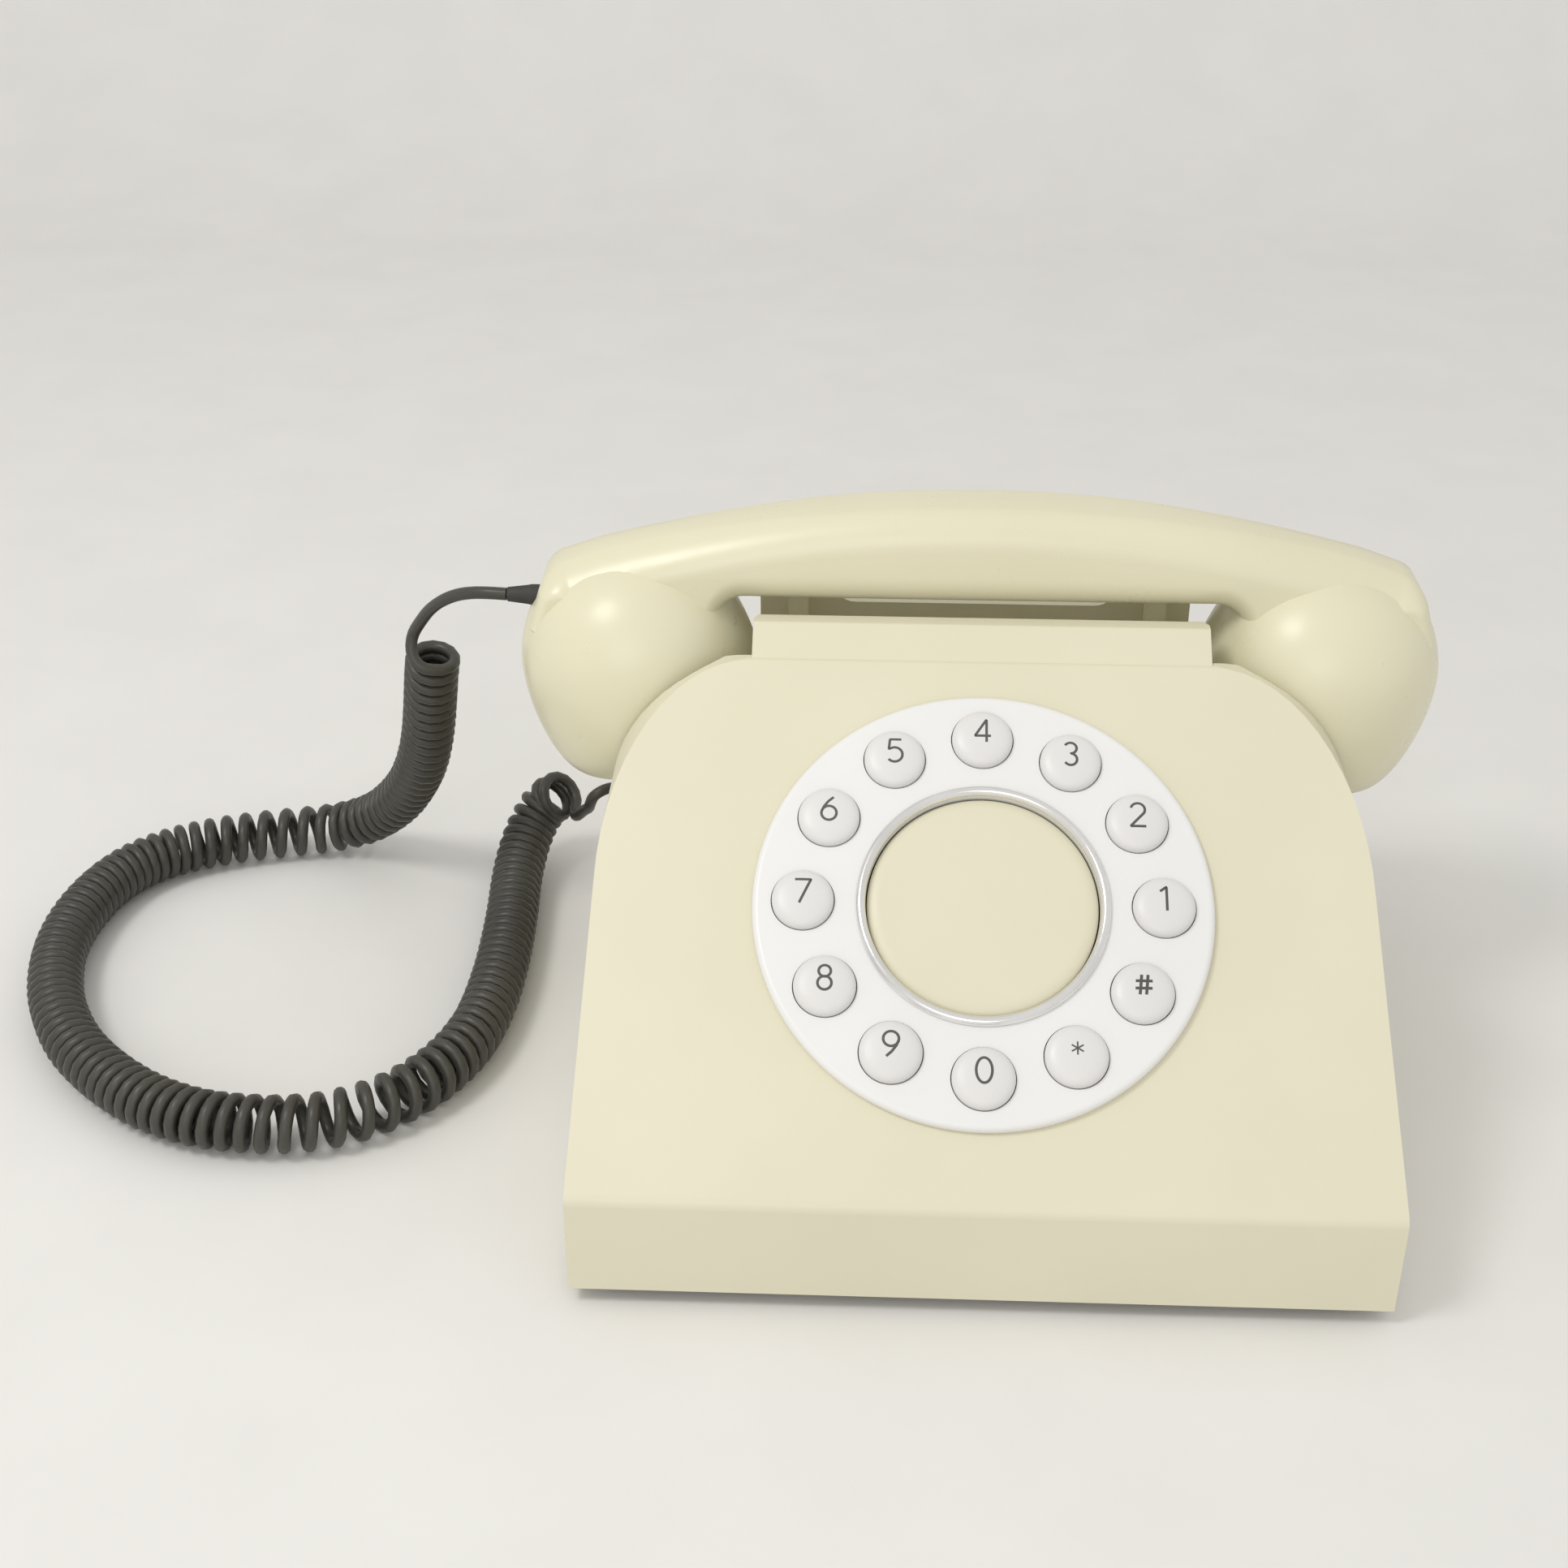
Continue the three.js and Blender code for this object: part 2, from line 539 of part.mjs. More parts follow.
function clapper() {
  const arm = box(-1.2, 1.2, CLAPPER_PIVOT_Y, RINGER_Y, GONG_BASE + 0.8, GONG_BASE + 2.2);
  const hub = cylinderZ(3, 0, CLAPPER_PIVOT_Y, GONG_BASE, GONG_BASE + 3.2, 20);
  const ball = new THREE.SphereGeometry(3.2, 12, 8).translate(0, RINGER_Y, GONG_BASE + 1.5);
  const bore = cylinderZ(CLAPPER_PIN_RADIUS + GAP, 0, CLAPPER_PIVOT_Y, GONG_BASE - 1, GONG_BASE + 5, 16);
  return cut(join(hub, arm, ball), bore);
}
piece('clapper', clapper(), finish.brass);

// ---------------------------------------------------------------- hook switch
const LEVER_TOP = LEVER_Z + LEVER_THICKNESS / 2;
const LEVER_BOTTOM = LEVER_Z - LEVER_THICKNESS / 2;
const SHELF_TOP = LEVER_Z - 14;
const PLUNGER_FOOT = 4;          // height of the wider foot that rests on the lever

function hookPlunger(side) {
  const foot = LEVER_TOP + GAP;
  const bar = boxAt(side * PLUNGER_X, PLUNGER_Y, PLUNGER_WIDTH, PLUNGER_DEPTH, foot, HANDLE_UNDERSIDE - GAP);
  const shoe = boxAt(side * PLUNGER_X, PLUNGER_Y, PLUNGER_WIDTH, PLUNGER_DEPTH + 3, foot,
    foot + PLUNGER_FOOT);
  return join(bar, shoe);
}
piece('hook_plunger_left', hookPlunger(-1), finish.handset);
piece('hook_plunger_right', hookPlunger(1), finish.handset);

// A hole for the hook's pin, right through the lever or the bracket.
function hookPinHole() {
  const reach = BRACKET_HALF + 5;
  return cylinderX(HOOK_PIN_RADIUS + GAP, -reach, reach, HOOK_PIVOT_Y, LEVER_Z, 16);
}

function hookLever() {
  const halfHub = BRACKET_HALF - BRACKET_SHEET - GAP;
  const halfBlade = BRACKET_HALF - 4;
  const hub = cylinderX(3, -halfHub, halfHub, HOOK_PIVOT_Y, LEVER_Z);
  const blade = box(-halfBlade, halfBlade, HOOK_PIVOT_Y, PLUNGER_Y, LEVER_BOTTOM, LEVER_TOP);
  const bar = box(-PLUNGER_X - 2, PLUNGER_X + 2, PLUNGER_Y - 3, PLUNGER_Y + 1, LEVER_BOTTOM, LEVER_TOP);
  return cut(join(hub, blade, bar), hookPinHole());
}
piece('hook_lever', hookLever(), finish.steel);

const hookPin = cylinderX(HOOK_PIN_RADIUS, -BRACKET_HALF - 2, BRACKET_HALF + 2, HOOK_PIVOT_Y, LEVER_Z, 16);
piece('hook_pin', hookPin, finish.steel);

function hookBracket() {
  const front = HOOK_PIVOT_Y - 5;
  const shelf = box(-BRACKET_HALF, BRACKET_HALF, front, HOOK_PIVOT_Y + 24, SHELF_TOP - BRACKET_SHEET,
    SHELF_TOP);
  const cheeks = [-1, 1].map((side) => box(side * BRACKET_HALF, side * (BRACKET_HALF - BRACKET_SHEET),
    front, HOOK_PIVOT_Y + 5, SHELF_TOP - BRACKET_SHEET, TROUGH_FLOOR - WALL - GAP));
  return cut(join(shelf, ...cheeks), hookPinHole());
}
piece('hook_bracket', hookBracket(), finish.steel);
piece('hook_switch', box(-10, 10, HOOK_PIVOT_Y + 8, HOOK_PIVOT_Y + 20, SHELF_TOP + GAP,
  LEVER_BOTTOM - 2 * GAP), finish.black);

// ---------------------------------------------------------------- dial and buttons
// Everything below lies in the dial group: X right, Y up the face, Z out of the face.
const PLATE_TOP = GAP + DIAL_THICKNESS;
const FLANGE_TOP = 0;
const FLANGE_THICKNESS = 1;
const STEM_RADIUS = 2.6;
const FRAME_TOP = FLANGE_TOP - FLANGE_THICKNESS - BUTTON_TRAVEL - GAP;
const FRAME_THICKNESS = 2.5;
const FRAME_BOTTOM = FRAME_TOP - FRAME_THICKNESS;
const STEM_BOTTOM = FRAME_BOTTOM - 1;
const MAT_TOP = STEM_BOTTOM - BUTTON_TRAVEL - GAP;
const MAT_THICKNESS = 1.4;
const KEYPAD_RADIUS = DIAL_HOLE_RADIUS - 2;
const KEYPAD_RIM = 7;
const KEYPAD_SCREW_AT = (KEYPAD_RADIUS + 5) * Math.SQRT1_2;

function buttonPlace(index) {
  const angle = Math.PI / 2 - index * Math.PI / 6;
  return [BUTTON_PITCH_RADIUS * Math.cos(angle), BUTTON_PITCH_RADIUS * Math.sin(angle)];
}

function dialPlate() {
  const disc = turned([[0, GAP], [DIAL_RADIUS - 0.3, GAP], [DIAL_RADIUS, GAP + 0.3],
    [DIAL_RADIUS, PLATE_TOP - 0.7], [DIAL_RADIUS - 0.7, PLATE_TOP], [0, PLATE_TOP]], 60);
  const holes = BUTTON_NAMES.map((name, index) => cylinderZ(
    BUTTON_RADIUS + GAP, ...buttonPlace(index), 0, PLATE_TOP + 1, 16));
  return cut(disc, ...holes, cylinderZ(CAP_RADIUS + GAP, 0, 0, 0, PLATE_TOP + 1, 48));
}
piece('dial_plate', dialPlate(), finish.dial, dial);

// A stem, a flange that stays under the plate, and a domed top.
function button() {
  const rim = PLATE_TOP + 0.2;
  const rise = BUTTON_RISE - rim;
  const flangeRadius = BUTTON_RADIUS + FLANGE_RIM;
  const flangeBottom = FLANGE_TOP - FLANGE_THICKNESS;
  const profile = [[0, STEM_BOTTOM], [STEM_RADIUS, STEM_BOTTOM], [STEM_RADIUS, flangeBottom],
    [flangeRadius, flangeBottom], [flangeRadius, FLANGE_TOP], [BUTTON_RADIUS, FLANGE_TOP]];
  const steps = 3;
  for (let step = 0; step < steps; step += 1) {
    const angle = Math.PI / 2 * step / steps;
    profile.push([BUTTON_RADIUS * Math.cos(angle), rim + rise * Math.sin(angle)]);
  }
  profile.push([0, BUTTON_RISE]);
  return turned(profile, 16);
}
BUTTON_NAMES.forEach((name, index) => {
  piece(`button_${name}`, button(), finish.button, dial).position.set(...buttonPlace(index), 0);
});

// A ring with a half-round top that lies on the plate, round the centre cap.
function dialRing() {
  const middle = CAP_RADIUS + GAP + RING_HALF_WIDTH;
  const profile = [];
  const steps = 6;
  for (let step = 0; step <= steps; step += 1) {
    const angle = Math.PI * step / steps;
    const radius = middle + RING_HALF_WIDTH * Math.cos(angle);
    profile.push([radius, PLATE_TOP + GAP + RING_HALF_WIDTH * 1.1 * Math.sin(angle)]);
  }
  return turned([...profile, profile[0]], 48);
}
piece('dial_ring', dialRing(), finish.chrome, dial);

function centreCap() {
  const bottom = FLANGE_TOP - 1.5;
  const top = PLATE_TOP - 0.4;
  return turned([[0, bottom], [CAP_RADIUS - 3, bottom], [CAP_RADIUS - 3, FLANGE_TOP], [CAP_RADIUS, GAP],
    [CAP_RADIUS, top - 1.1], [CAP_RADIUS - 0.4, top - 0.35], [CAP_RADIUS - 1.4, top], [0, top + 0.3]], 48);
}
piece('centre_cap', centreCap(), finish.body, dial);

// The frame that guides the stems, with a rim that meets the inside of the housing.
function keypadFrame() {
  const outer = KEYPAD_RADIUS + KEYPAD_RIM;
  const disc = cylinderZ(outer, 0, 0, FRAME_BOTTOM, FRAME_TOP, 36);
  const rim = cut(cylinderZ(outer, 0, 0, FRAME_TOP - 0.5, -WALL - GAP, 36),
    cylinderZ(KEYPAD_RADIUS + 2, 0, 0, FRAME_TOP - 1, 0, 36));
  const stemHoles = BUTTON_NAMES.map((name, index) => cylinderZ(
    STEM_RADIUS + GAP, ...buttonPlace(index), FRAME_BOTTOM - 1, FRAME_TOP + 1, 10));
  const holes = CORNERS.map(([sx, sy]) => cylinderZ(KEYPAD_SCREW_RADIUS + GAP,
    sx * KEYPAD_SCREW_AT, sy * KEYPAD_SCREW_AT, FRAME_BOTTOM - 1, 0, 8));
  return cut(toManifold(disc).add(rim), ...stemHoles, ...holes);
}
piece('keypad_frame', keypadFrame(), finish.black, dial);

CORNERS.forEach(([sx, sy], index) => {
  const shape = screwUp(KEYPAD_SCREW_RADIUS, 2.6, 1.3, FRAME_BOTTOM - GAP, -WALL - GAP);
  const screw = piece(`keypad_screw_${index + 1}`, shape, finish.steel, dial);
  screw.position.set(sx * KEYPAD_SCREW_AT, sy * KEYPAD_SCREW_AT, 0);
});

const MAT_BOTTOM = MAT_TOP - MAT_THICKNESS;
const keypadMat = cylinderZ(KEYPAD_RADIUS, 0, 0, MAT_BOTTOM, MAT_TOP, 32);
const keypadBoard = cylinderZ(KEYPAD_RADIUS, 0, 0, MAT_BOTTOM - GAP - BOARD_THICKNESS, MAT_BOTTOM - GAP, 32);
piece('keypad_mat', keypadMat, finish.rubber, dial);
piece('keypad_board', keypadBoard, finish.board, dial);

// ---------------------------------------------------------------- handset
// The profile of a cup, from its mouth to its crown, moved in by the inset.
function cupProfile(inset) {
  const shape = [[0.67, 0], [0.79, 0.015], [0.88, 0.053], [0.94, 0.114], [0.98, 0.2], [1, 0.31], [1, 0.42],
    [0.98, 0.53], [0.93, 0.645], [0.835, 0.753], [0.69, 0.855], [0.49, 0.937], [0.25, 0.986], [0, 1]];
  const radius = CUP_RADIUS - inset;
  const length = CUP_LENGTH - 2 * inset;
  return [[0, inset], ...shape.map(([out, along]) => [radius * out, inset + length * along])];
}

// Turns a shape that stands on a cup's mouth, with its axis along Z, into the handset's cup.
function inCup(geometry, side) {
  return geometry.rotateY(side * CUP_TILT).translate(side * CUP_X, HANDSET_Y, CUP_MOUTH_HEIGHT);
}

function handleOutline() {
  const crownHalf = HANDSET_END - 21;
  const crown = [];
  const steps = 12;
  for (let step = 0; step <= steps; step += 1) {
    const x = crownHalf - 2 * crownHalf * step / steps;
    crown.push([x, HANDLE_TOP - x * x / (2 * HANDLE_CROWN_RADIUS)]);
  }
  const legBottom = LEAD_HEIGHT - 12;
  const cornerZ = HANDLE_TOP - (HANDSET_END - 7.5) ** 2 / (2 * HANDLE_CROWN_RADIUS) - 1;
  return roundedOutline([
    [HANDSET_END - 8.5, legBottom], [HANDSET_END - 2.6, LEAD_HEIGHT - 4, 9],
    [HANDSET_END - 7.5, cornerZ, 11], ...crown, [-HANDSET_END + 7.5, cornerZ, 11],
    [-HANDSET_END + 2.6, LEAD_HEIGHT - 4, 9], [-HANDSET_END + 8.5, legBottom],
    [-NECK_HALF_GAP, legBottom], [-NECK_HALF_GAP, HANDLE_UNDERSIDE, 7],
    [NECK_HALF_GAP, HANDLE_UNDERSIDE, 7], [NECK_HALF_GAP, legBottom],
  ]);
}

function handsetBody() {
  const handle = extrudeAlongY(handleOutline(), HANDSET_Y - HANDLE_DEPTH / 2,
    HANDSET_Y + HANDLE_DEPTH / 2, 6, 8);
  const cups = [-1, 1].map((side) => inCup(turned(cupProfile(0), 26), side));
  const hollows = [-1, 1].map((side) => inCup(turned(cupProfile(CUP_WALL), 14), side));
  const mouths = [-1, 1].map((side) => inCup(
    cylinderZ(CAP_DISC_RADIUS + GAP, 0, 0, -2, CUP_WALL + 3, 30), side));
  const duct = boxAt(0, HANDSET_Y, 2 * (CUP_X + 14), 12, HANDLE_UNDERSIDE + 2.5, HANDLE_UNDERSIDE + 7);
  const leadHole = cylinderX(RELIEF_RADIUS + GAP, -HANDSET_END - 8, -HANDSET_END + 18,
    HANDSET_Y, LEAD_HEIGHT);
  return cut(join(handle, ...cups), ...hollows, ...mouths, duct, leadHole);
}
piece('handset_body', handsetBody(), finish.handset);

// Small holes through a cup's cap: one in the middle, and rings given as [radius, count].
function soundHoles(rings) {
  const holes = [cylinderZ(1, 0, 0, -2, 8, 6)];
  rings.forEach(([radius, count]) => {
    for (let index = 0; index < count; index += 1) {
      const angle = 2 * Math.PI * index / count;
      holes.push(cylinderZ(1, radius * Math.cos(angle), radius * Math.sin(angle), -2, 8, 6));
    }
  });
  return holes;
}

function cupDisc() {
  const thickness = 3.4;
  return turned([[0, 0.4], [CAP_DISC_RADIUS - 0.8, 0], [CAP_DISC_RADIUS, 0.8],
    [CAP_DISC_RADIUS, thickness], [0, thickness]], 30);
}

// Puts a piece that stands on a cup's mouth into the ear's cup or the mouth's.
function pieceInCup(name, shape, material, side) {
  const mesh = piece(name, shape, material);
  mesh.rotation.y = side * CUP_TILT;
  mesh.position.set(side * CUP_X, HANDSET_Y, CUP_MOUTH_HEIGHT);
}
const receiver = turned([[0, 6], [15, 6], [16, 7], [16, 14], [9, 16], [9, 19], [0, 19]], 24);
const transmitter = turned([[0, 6], [13, 6], [14, 7], [14, 12], [0, 13]], 24);
pieceInCup('ear_cap', cut(cupDisc(), ...soundHoles([[5, 6]])), finish.handset, 1);
pieceInCup('receiver_capsule', receiver, finish.steel, 1);
pieceInCup('mouth_cap', cut(cupDisc(), ...soundHoles([[4.5, 6], [9, 8]])), finish.handset, -1);
pieceInCup('transmitter_capsule', transmitter, finish.black, -1);

const reliefLength = RELIEF_DEPTH + RELIEF_REACH;
const relief = turned([[0, 0], [RELIEF_RADIUS, 0], [RELIEF_RADIUS, RELIEF_DEPTH - 3],
  [RELIEF_RADIUS - 0.2, RELIEF_DEPTH - 2], [CORD_DIAMETER / 2 + 0.2, reliefLength],
  [0, reliefLength]], 24);
relief.rotateY(-Math.PI / 2).translate(-HANDSET_END + RELIEF_DEPTH, HANDSET_Y, LEAD_HEIGHT);
piece('handset_strain_relief', relief, finish.rubber);

// ---------------------------------------------------------------- cord
const handsetLead = [
  [-HANDSET_END - RELIEF_REACH - GAP, HANDSET_Y, LEAD_HEIGHT],
  [-121.6, 42, 111.4], [-126, 43.6, 110.6], [-130.4, 46, 108.8],
  [-134.9, 49, 105.7], [-138.9, 52.2, 101.6], [-142, 54.6, 97.2], [-144.4, 56.6, 93.4],
];
const curlyCord = [
  [-139.5, 58, 89.6], [-141.2, 60, 81.8], [-142.8, 63, 73], [-144.5, 66.5, 64], [-146.6, 70.6, 54.9],
  [-149.5, 75.5, 45.5], [-153.3, 81, 36.6], [-158.2, 86.6, 28], [-164, 91.7, 20.4], [-170.4, 96, 14.4],
  [-176.6, 98.7, 10.6], [-183, 99.6, 8.5], [-190, 99, 7.7], [-198, 97.2, 7.6], [-207.5, 94.6, 7.6],
  [-216.5, 91.2, 7.6], [-226.5, 85.8, 7.6], [-235, 77.6, 7.6], [-240.2, 67.8, 7.6], [-243, 57, 7.6],
  [-244, 45, 7.6], [-243.2, 33, 7.6], [-240.8, 22, 7.6], [-237, 11, 7.6], [-231.8, 0.5, 7.6],
  [-225.8, -8.7, 7.6], [-218.8, -16.7, 7.6], [-210.8, -24, 7.6], [-202.3, -30.2, 7.6], [-193.4, -34.8, 7.6],
  [-184, -37.8, 7.6], [-174, -39, 7.6], [-164, -38.8, 7.6], [-154.7, -36.8, 7.6], [-146.3, -32.6, 7.6],
  [-138.7, -26.2, 7.6], [-132.5, -18.2, 7.6], [-127.9, -8.8, 7.6], [-124.9, 2, 7.6], [-123.4, 15, 7.6],
  [-123, 30, 7.6], [-123.4, 45, 7.6], [-124.1, 58, 7.6], [-125, 70, 8], [-125.2, 80, 9.4],
  [-124.3, 88.5, 12.4], [-122.2, 94, 16.2], [-118.8, 97, 20.2], [-112.8, 95, 24.6],
];
const baseLead = [
  [-112.3, 89.3, 23.2], [-109.8, 87.8, 23.8], [-107, 85.4, 24.8], [-105, 82.4, 26.8], [-104, 79.6, 30],
  [-102.7, 78.4, 33], [-100, 79.4, 34.5], [-97.2, 81.3, 34.3],
  [-HALF_WIDTH - GLAND_REACH - 0.5, GLAND_Y, GLAND_Z],
];
piece('handset_lead', tube(handsetLead, CORD_DIAMETER, 2.4, 8), finish.cord);
piece('curly_cord', tube(curlyCord, COIL_DIAMETER, 11, 10), finish.cord);
piece('base_lead', tube(baseLead, CORD_DIAMETER, 1.6, 8), finish.cord);

function cordGland() {
  const flangeAt = WALL + 2 + GAP;
  return turned([[0, 0], [GLAND_RADIUS, 0], [GLAND_RADIUS, flangeAt], [GLAND_RADIUS + 1.4, flangeAt],
    [GLAND_RADIUS + 1.4, flangeAt + 1.2], [2.4, WALL + 2 + GLAND_REACH], [0, WALL + 2 + GLAND_REACH]], 24);
}
const gland = cordGland().rotateY(-Math.PI / 2).translate(-HALF_WIDTH + WALL + 2, GLAND_Y, GLAND_Z);
piece('cord_gland', gland, finish.rubber);

export default telephone;
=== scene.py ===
# Looks of the push-button desk telephone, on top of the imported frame. Metres, +Z up.
import json
import math

import bmesh
import bpy
from mathutils import Matrix, Vector
from mathutils.geometry import interpolate_bezier


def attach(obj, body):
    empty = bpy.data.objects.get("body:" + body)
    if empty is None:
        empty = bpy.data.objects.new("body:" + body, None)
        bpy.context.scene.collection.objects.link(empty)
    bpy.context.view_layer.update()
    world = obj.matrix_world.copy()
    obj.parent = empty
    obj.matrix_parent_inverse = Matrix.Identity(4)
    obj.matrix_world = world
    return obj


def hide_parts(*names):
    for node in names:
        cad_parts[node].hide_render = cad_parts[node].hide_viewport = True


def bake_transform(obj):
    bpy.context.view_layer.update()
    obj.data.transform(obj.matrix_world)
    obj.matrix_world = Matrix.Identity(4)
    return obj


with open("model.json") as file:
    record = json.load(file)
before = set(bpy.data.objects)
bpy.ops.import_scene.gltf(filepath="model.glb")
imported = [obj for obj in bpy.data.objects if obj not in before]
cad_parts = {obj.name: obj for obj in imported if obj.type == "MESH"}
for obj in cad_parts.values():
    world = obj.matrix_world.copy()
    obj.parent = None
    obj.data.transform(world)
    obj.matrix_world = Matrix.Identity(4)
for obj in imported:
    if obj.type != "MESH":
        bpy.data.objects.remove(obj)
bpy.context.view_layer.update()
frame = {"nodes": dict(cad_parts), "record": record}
nodes = frame["nodes"]
MM = 0.001

# ---------------------------------------------------------------- sizes repeated from the CAD
FACE_ANGLE = math.radians(37.05)
DIAL_Y = (-89 + 69.2 * math.cos(FACE_ANGLE)) * MM
DIAL_Z = (28.5 + 69.2 * math.sin(FACE_ANGLE)) * MM
DIAL_RADIUS = 52
PLATE_TOP = 2.3
BUTTON_RADIUS = 7.0
BUTTON_PITCH_RADIUS = 40.5
STEM_BOTTOM = -7.3
STEM_RADIUS = 2.6
FLANGE_RADIUS = BUTTON_RADIUS + 1
BUTTON_NAMES = ["4", "3", "2", "1", "hash", "star", "0", "9", "8", "7", "6", "5"]
CAP_RADIUS = 26.1
RING_HALF_WIDTH = 1.15
HANDSET_Y = 41.5
CUP_X = 77.1
CUP_MOUTH_HEIGHT = 73.4
CUP_TILT = math.radians(18.5)
CUP_RADIUS = 29.2
CUP_LENGTH = 52.4
CAP_DISC_RADIUS = 18.6
HANDSET_END = 113.5
LEAD_HEIGHT = 111.4
HANDLE_TOP = 138.5
HANDLE_UNDERSIDE = 114.8
HANDLE_CROWN_RADIUS = 343
HANDLE_HALF_DEPTH = 13
NECK_HALF_GAP = 64.3
WIRE = 3.2
HELIX_RADIUS = 5.7


# ---------------------------------------------------------------- camera
camera_data = bpy.data.cameras.new("camera")
camera_data.lens = 50
camera_data.sensor_width = 36
camera_data.dof.use_dof = False
camera = bpy.data.objects.new("camera", camera_data)
camera.location = (-0.0277, -0.4499, 0.3352)
camera.rotation_euler = (math.radians(60.67), 0, math.radians(2.35))
bpy.context.scene.collection.objects.link(camera)
bpy.context.scene.camera = camera


# ---------------------------------------------------------------- materials
def new_material(name):
    material = bpy.data.materials.new(name)
    material.use_nodes = True
    tree = material.node_tree
    return material, tree, tree.nodes["Principled BSDF"]


def noise(tree, scale, detail=3.0, roughness=0.5):
    place = tree.nodes.new("ShaderNodeTexCoord")
    node = tree.nodes.new("ShaderNodeTexNoise")
    node.inputs["Scale"].default_value = scale
    node.inputs["Detail"].default_value = detail
    node.inputs["Roughness"].default_value = roughness
    tree.links.new(place.outputs["Object"], node.inputs["Vector"])
    return node.outputs["Fac"]


def spread(tree, factor, low, high):
    """Maps a noise from 0.3..0.7 to low..high."""
    node = tree.nodes.new("ShaderNodeMapRange")
    node.inputs["From Min"].default_value = 0.3
    node.inputs["From Max"].default_value = 0.7
    node.inputs["To Min"].default_value = low
    node.inputs["To Max"].default_value = high
    tree.links.new(factor, node.inputs["Value"])
    return node.outputs["Result"]


def tinted(tree, factor, first, second):
    node = tree.nodes.new("ShaderNodeValToRGB")
    node.color_ramp.elements[0].position = 0.35
    node.color_ramp.elements[0].color = (*first, 1)
    node.color_ramp.elements[1].position = 0.65
    node.color_ramp.elements[1].color = (*second, 1)
    tree.links.new(factor, node.inputs["Fac"])
    return node.outputs["Color"]


def add_bump(tree, shader, height, distance, strength):
    node = tree.nodes.new("ShaderNodeBump")
    node.inputs["Distance"].default_value = distance
    node.inputs["Strength"].default_value = strength
    tree.links.new(height, node.inputs["Height"])
    tree.links.new(node.outputs["Normal"], shader.inputs["Normal"])


def moulded(name, first, second, roughness, grain=900, depth=0.00002):
    """Moulded plastic: a faint mottle, uneven gloss and a fine orange peel."""
    material, tree, shader = new_material(name)
    tree.links.new(tinted(tree, noise(tree, 22, 4), first, second), shader.inputs["Base Color"])
    gloss = spread(tree, noise(tree, 90, 5, 0.6), roughness - 0.04, roughness + 0.05)
    tree.links.new(gloss, shader.inputs["Roughness"])
    add_bump(tree, shader, noise(tree, grain, 2), depth, 0.35)
    return material


def metallic(name, first, second, roughness, brushed=False):
    material, tree, shader = new_material(name)
    tree.links.new(tinted(tree, noise(tree, 60, 4), first, second), shader.inputs["Base Color"])
    fine = noise(tree, 700 if brushed else 250, 4, 0.65)
    tree.links.new(spread(tree, fine, roughness - 0.04, roughness + 0.06), shader.inputs["Roughness"])
    add_bump(tree, shader, fine, 0.00001, 0.4 if brushed else 0.12)
    shader.inputs["Metallic"].default_value = 1.0
    return material


looks = {
    "ivory_plastic": moulded("body_plastic", (0.71, 0.675, 0.515), (0.73, 0.695, 0.535), 0.42),
    "handset_plastic": moulded("handset_plastic", (0.72, 0.69, 0.50), (0.74, 0.71, 0.52), 0.3, 350, 0.00001),
    "white_plastic": moulded("dial_plastic", (0.79, 0.785, 0.775), (0.81, 0.805, 0.795), 0.36),
    "button_plastic": moulded("button_plastic", (0.71, 0.70, 0.69), (0.73, 0.72, 0.71), 0.38),
    "chrome": metallic("ring_chrome", (0.78, 0.775, 0.765), (0.86, 0.855, 0.845), 0.16),
    "steel": metallic("plated_steel", (0.52, 0.53, 0.54), (0.62, 0.63, 0.64), 0.38, brushed=True),
    "brass": metallic("bell_brass", (0.62, 0.45, 0.16), (0.74, 0.56, 0.24), 0.24),
    "rubber": moulded("black_rubber", (0.030, 0.029, 0.026), (0.045, 0.043, 0.038), 0.62, 500, 0.00006),
    "cord_jacket": moulded("cord_jacket", (0.042, 0.039, 0.031), (0.056, 0.052, 0.042), 0.40, 1400, 0.00003),
    "circuit_board": moulded("board_laminate", (0.020, 0.085, 0.030), (0.030, 0.110, 0.042), 0.45, 400),
    "black_plastic": moulded("black_plastic", (0.012, 0.012, 0.012), (0.022, 0.022, 0.022), 0.45),
    "copper": metallic("coil_copper", (0.55, 0.24, 0.12), (0.68, 0.33, 0.17), 0.35, brushed=True),
}
ink = moulded("digit_ink", (0.075, 0.072, 0.066), (0.095, 0.092, 0.085), 0.5)

for entry in frame["record"]["subparts"]:
    cad = nodes[entry["node"]]
    cad.data.materials.clear()
    cad.data.materials.append(looks[entry["material_slot"]])


# ---------------------------------------------------------------- mesh helpers
def mesh_piece(name, points, faces, look, smooth_angle=40):
    """A new object from points in millimetres, which takes a look if one is given."""
    mesh = bpy.data.meshes.new(name)
    mesh.from_pydata([Vector(point) * MM for point in points], [], faces)
    piece = bpy.data.objects.new(name, mesh)
    bpy.context.scene.collection.objects.link(piece)
    finish_mesh(piece, smooth_angle)
    if look:
        dress(piece, look)
    return piece


def finish_mesh(piece, smooth_angle=40):
    """Outward normals, smooth shading, and edges sharper than the angle kept sharp."""
    work = bmesh.new()
    work.from_mesh(piece.data)
    bmesh.ops.recalc_face_normals(work, faces=work.faces)
    for face in work.faces:
        face.smooth = True
    limit = math.radians(smooth_angle)
    for edge in work.edges:
        edge.smooth = len(edge.link_faces) != 2 or edge.calc_face_angle(0) < limit
    work.to_mesh(piece.data)
    work.free()


def dress(piece, look):
    piece.data.materials.clear()
    piece.data.materials.append(looks[look])


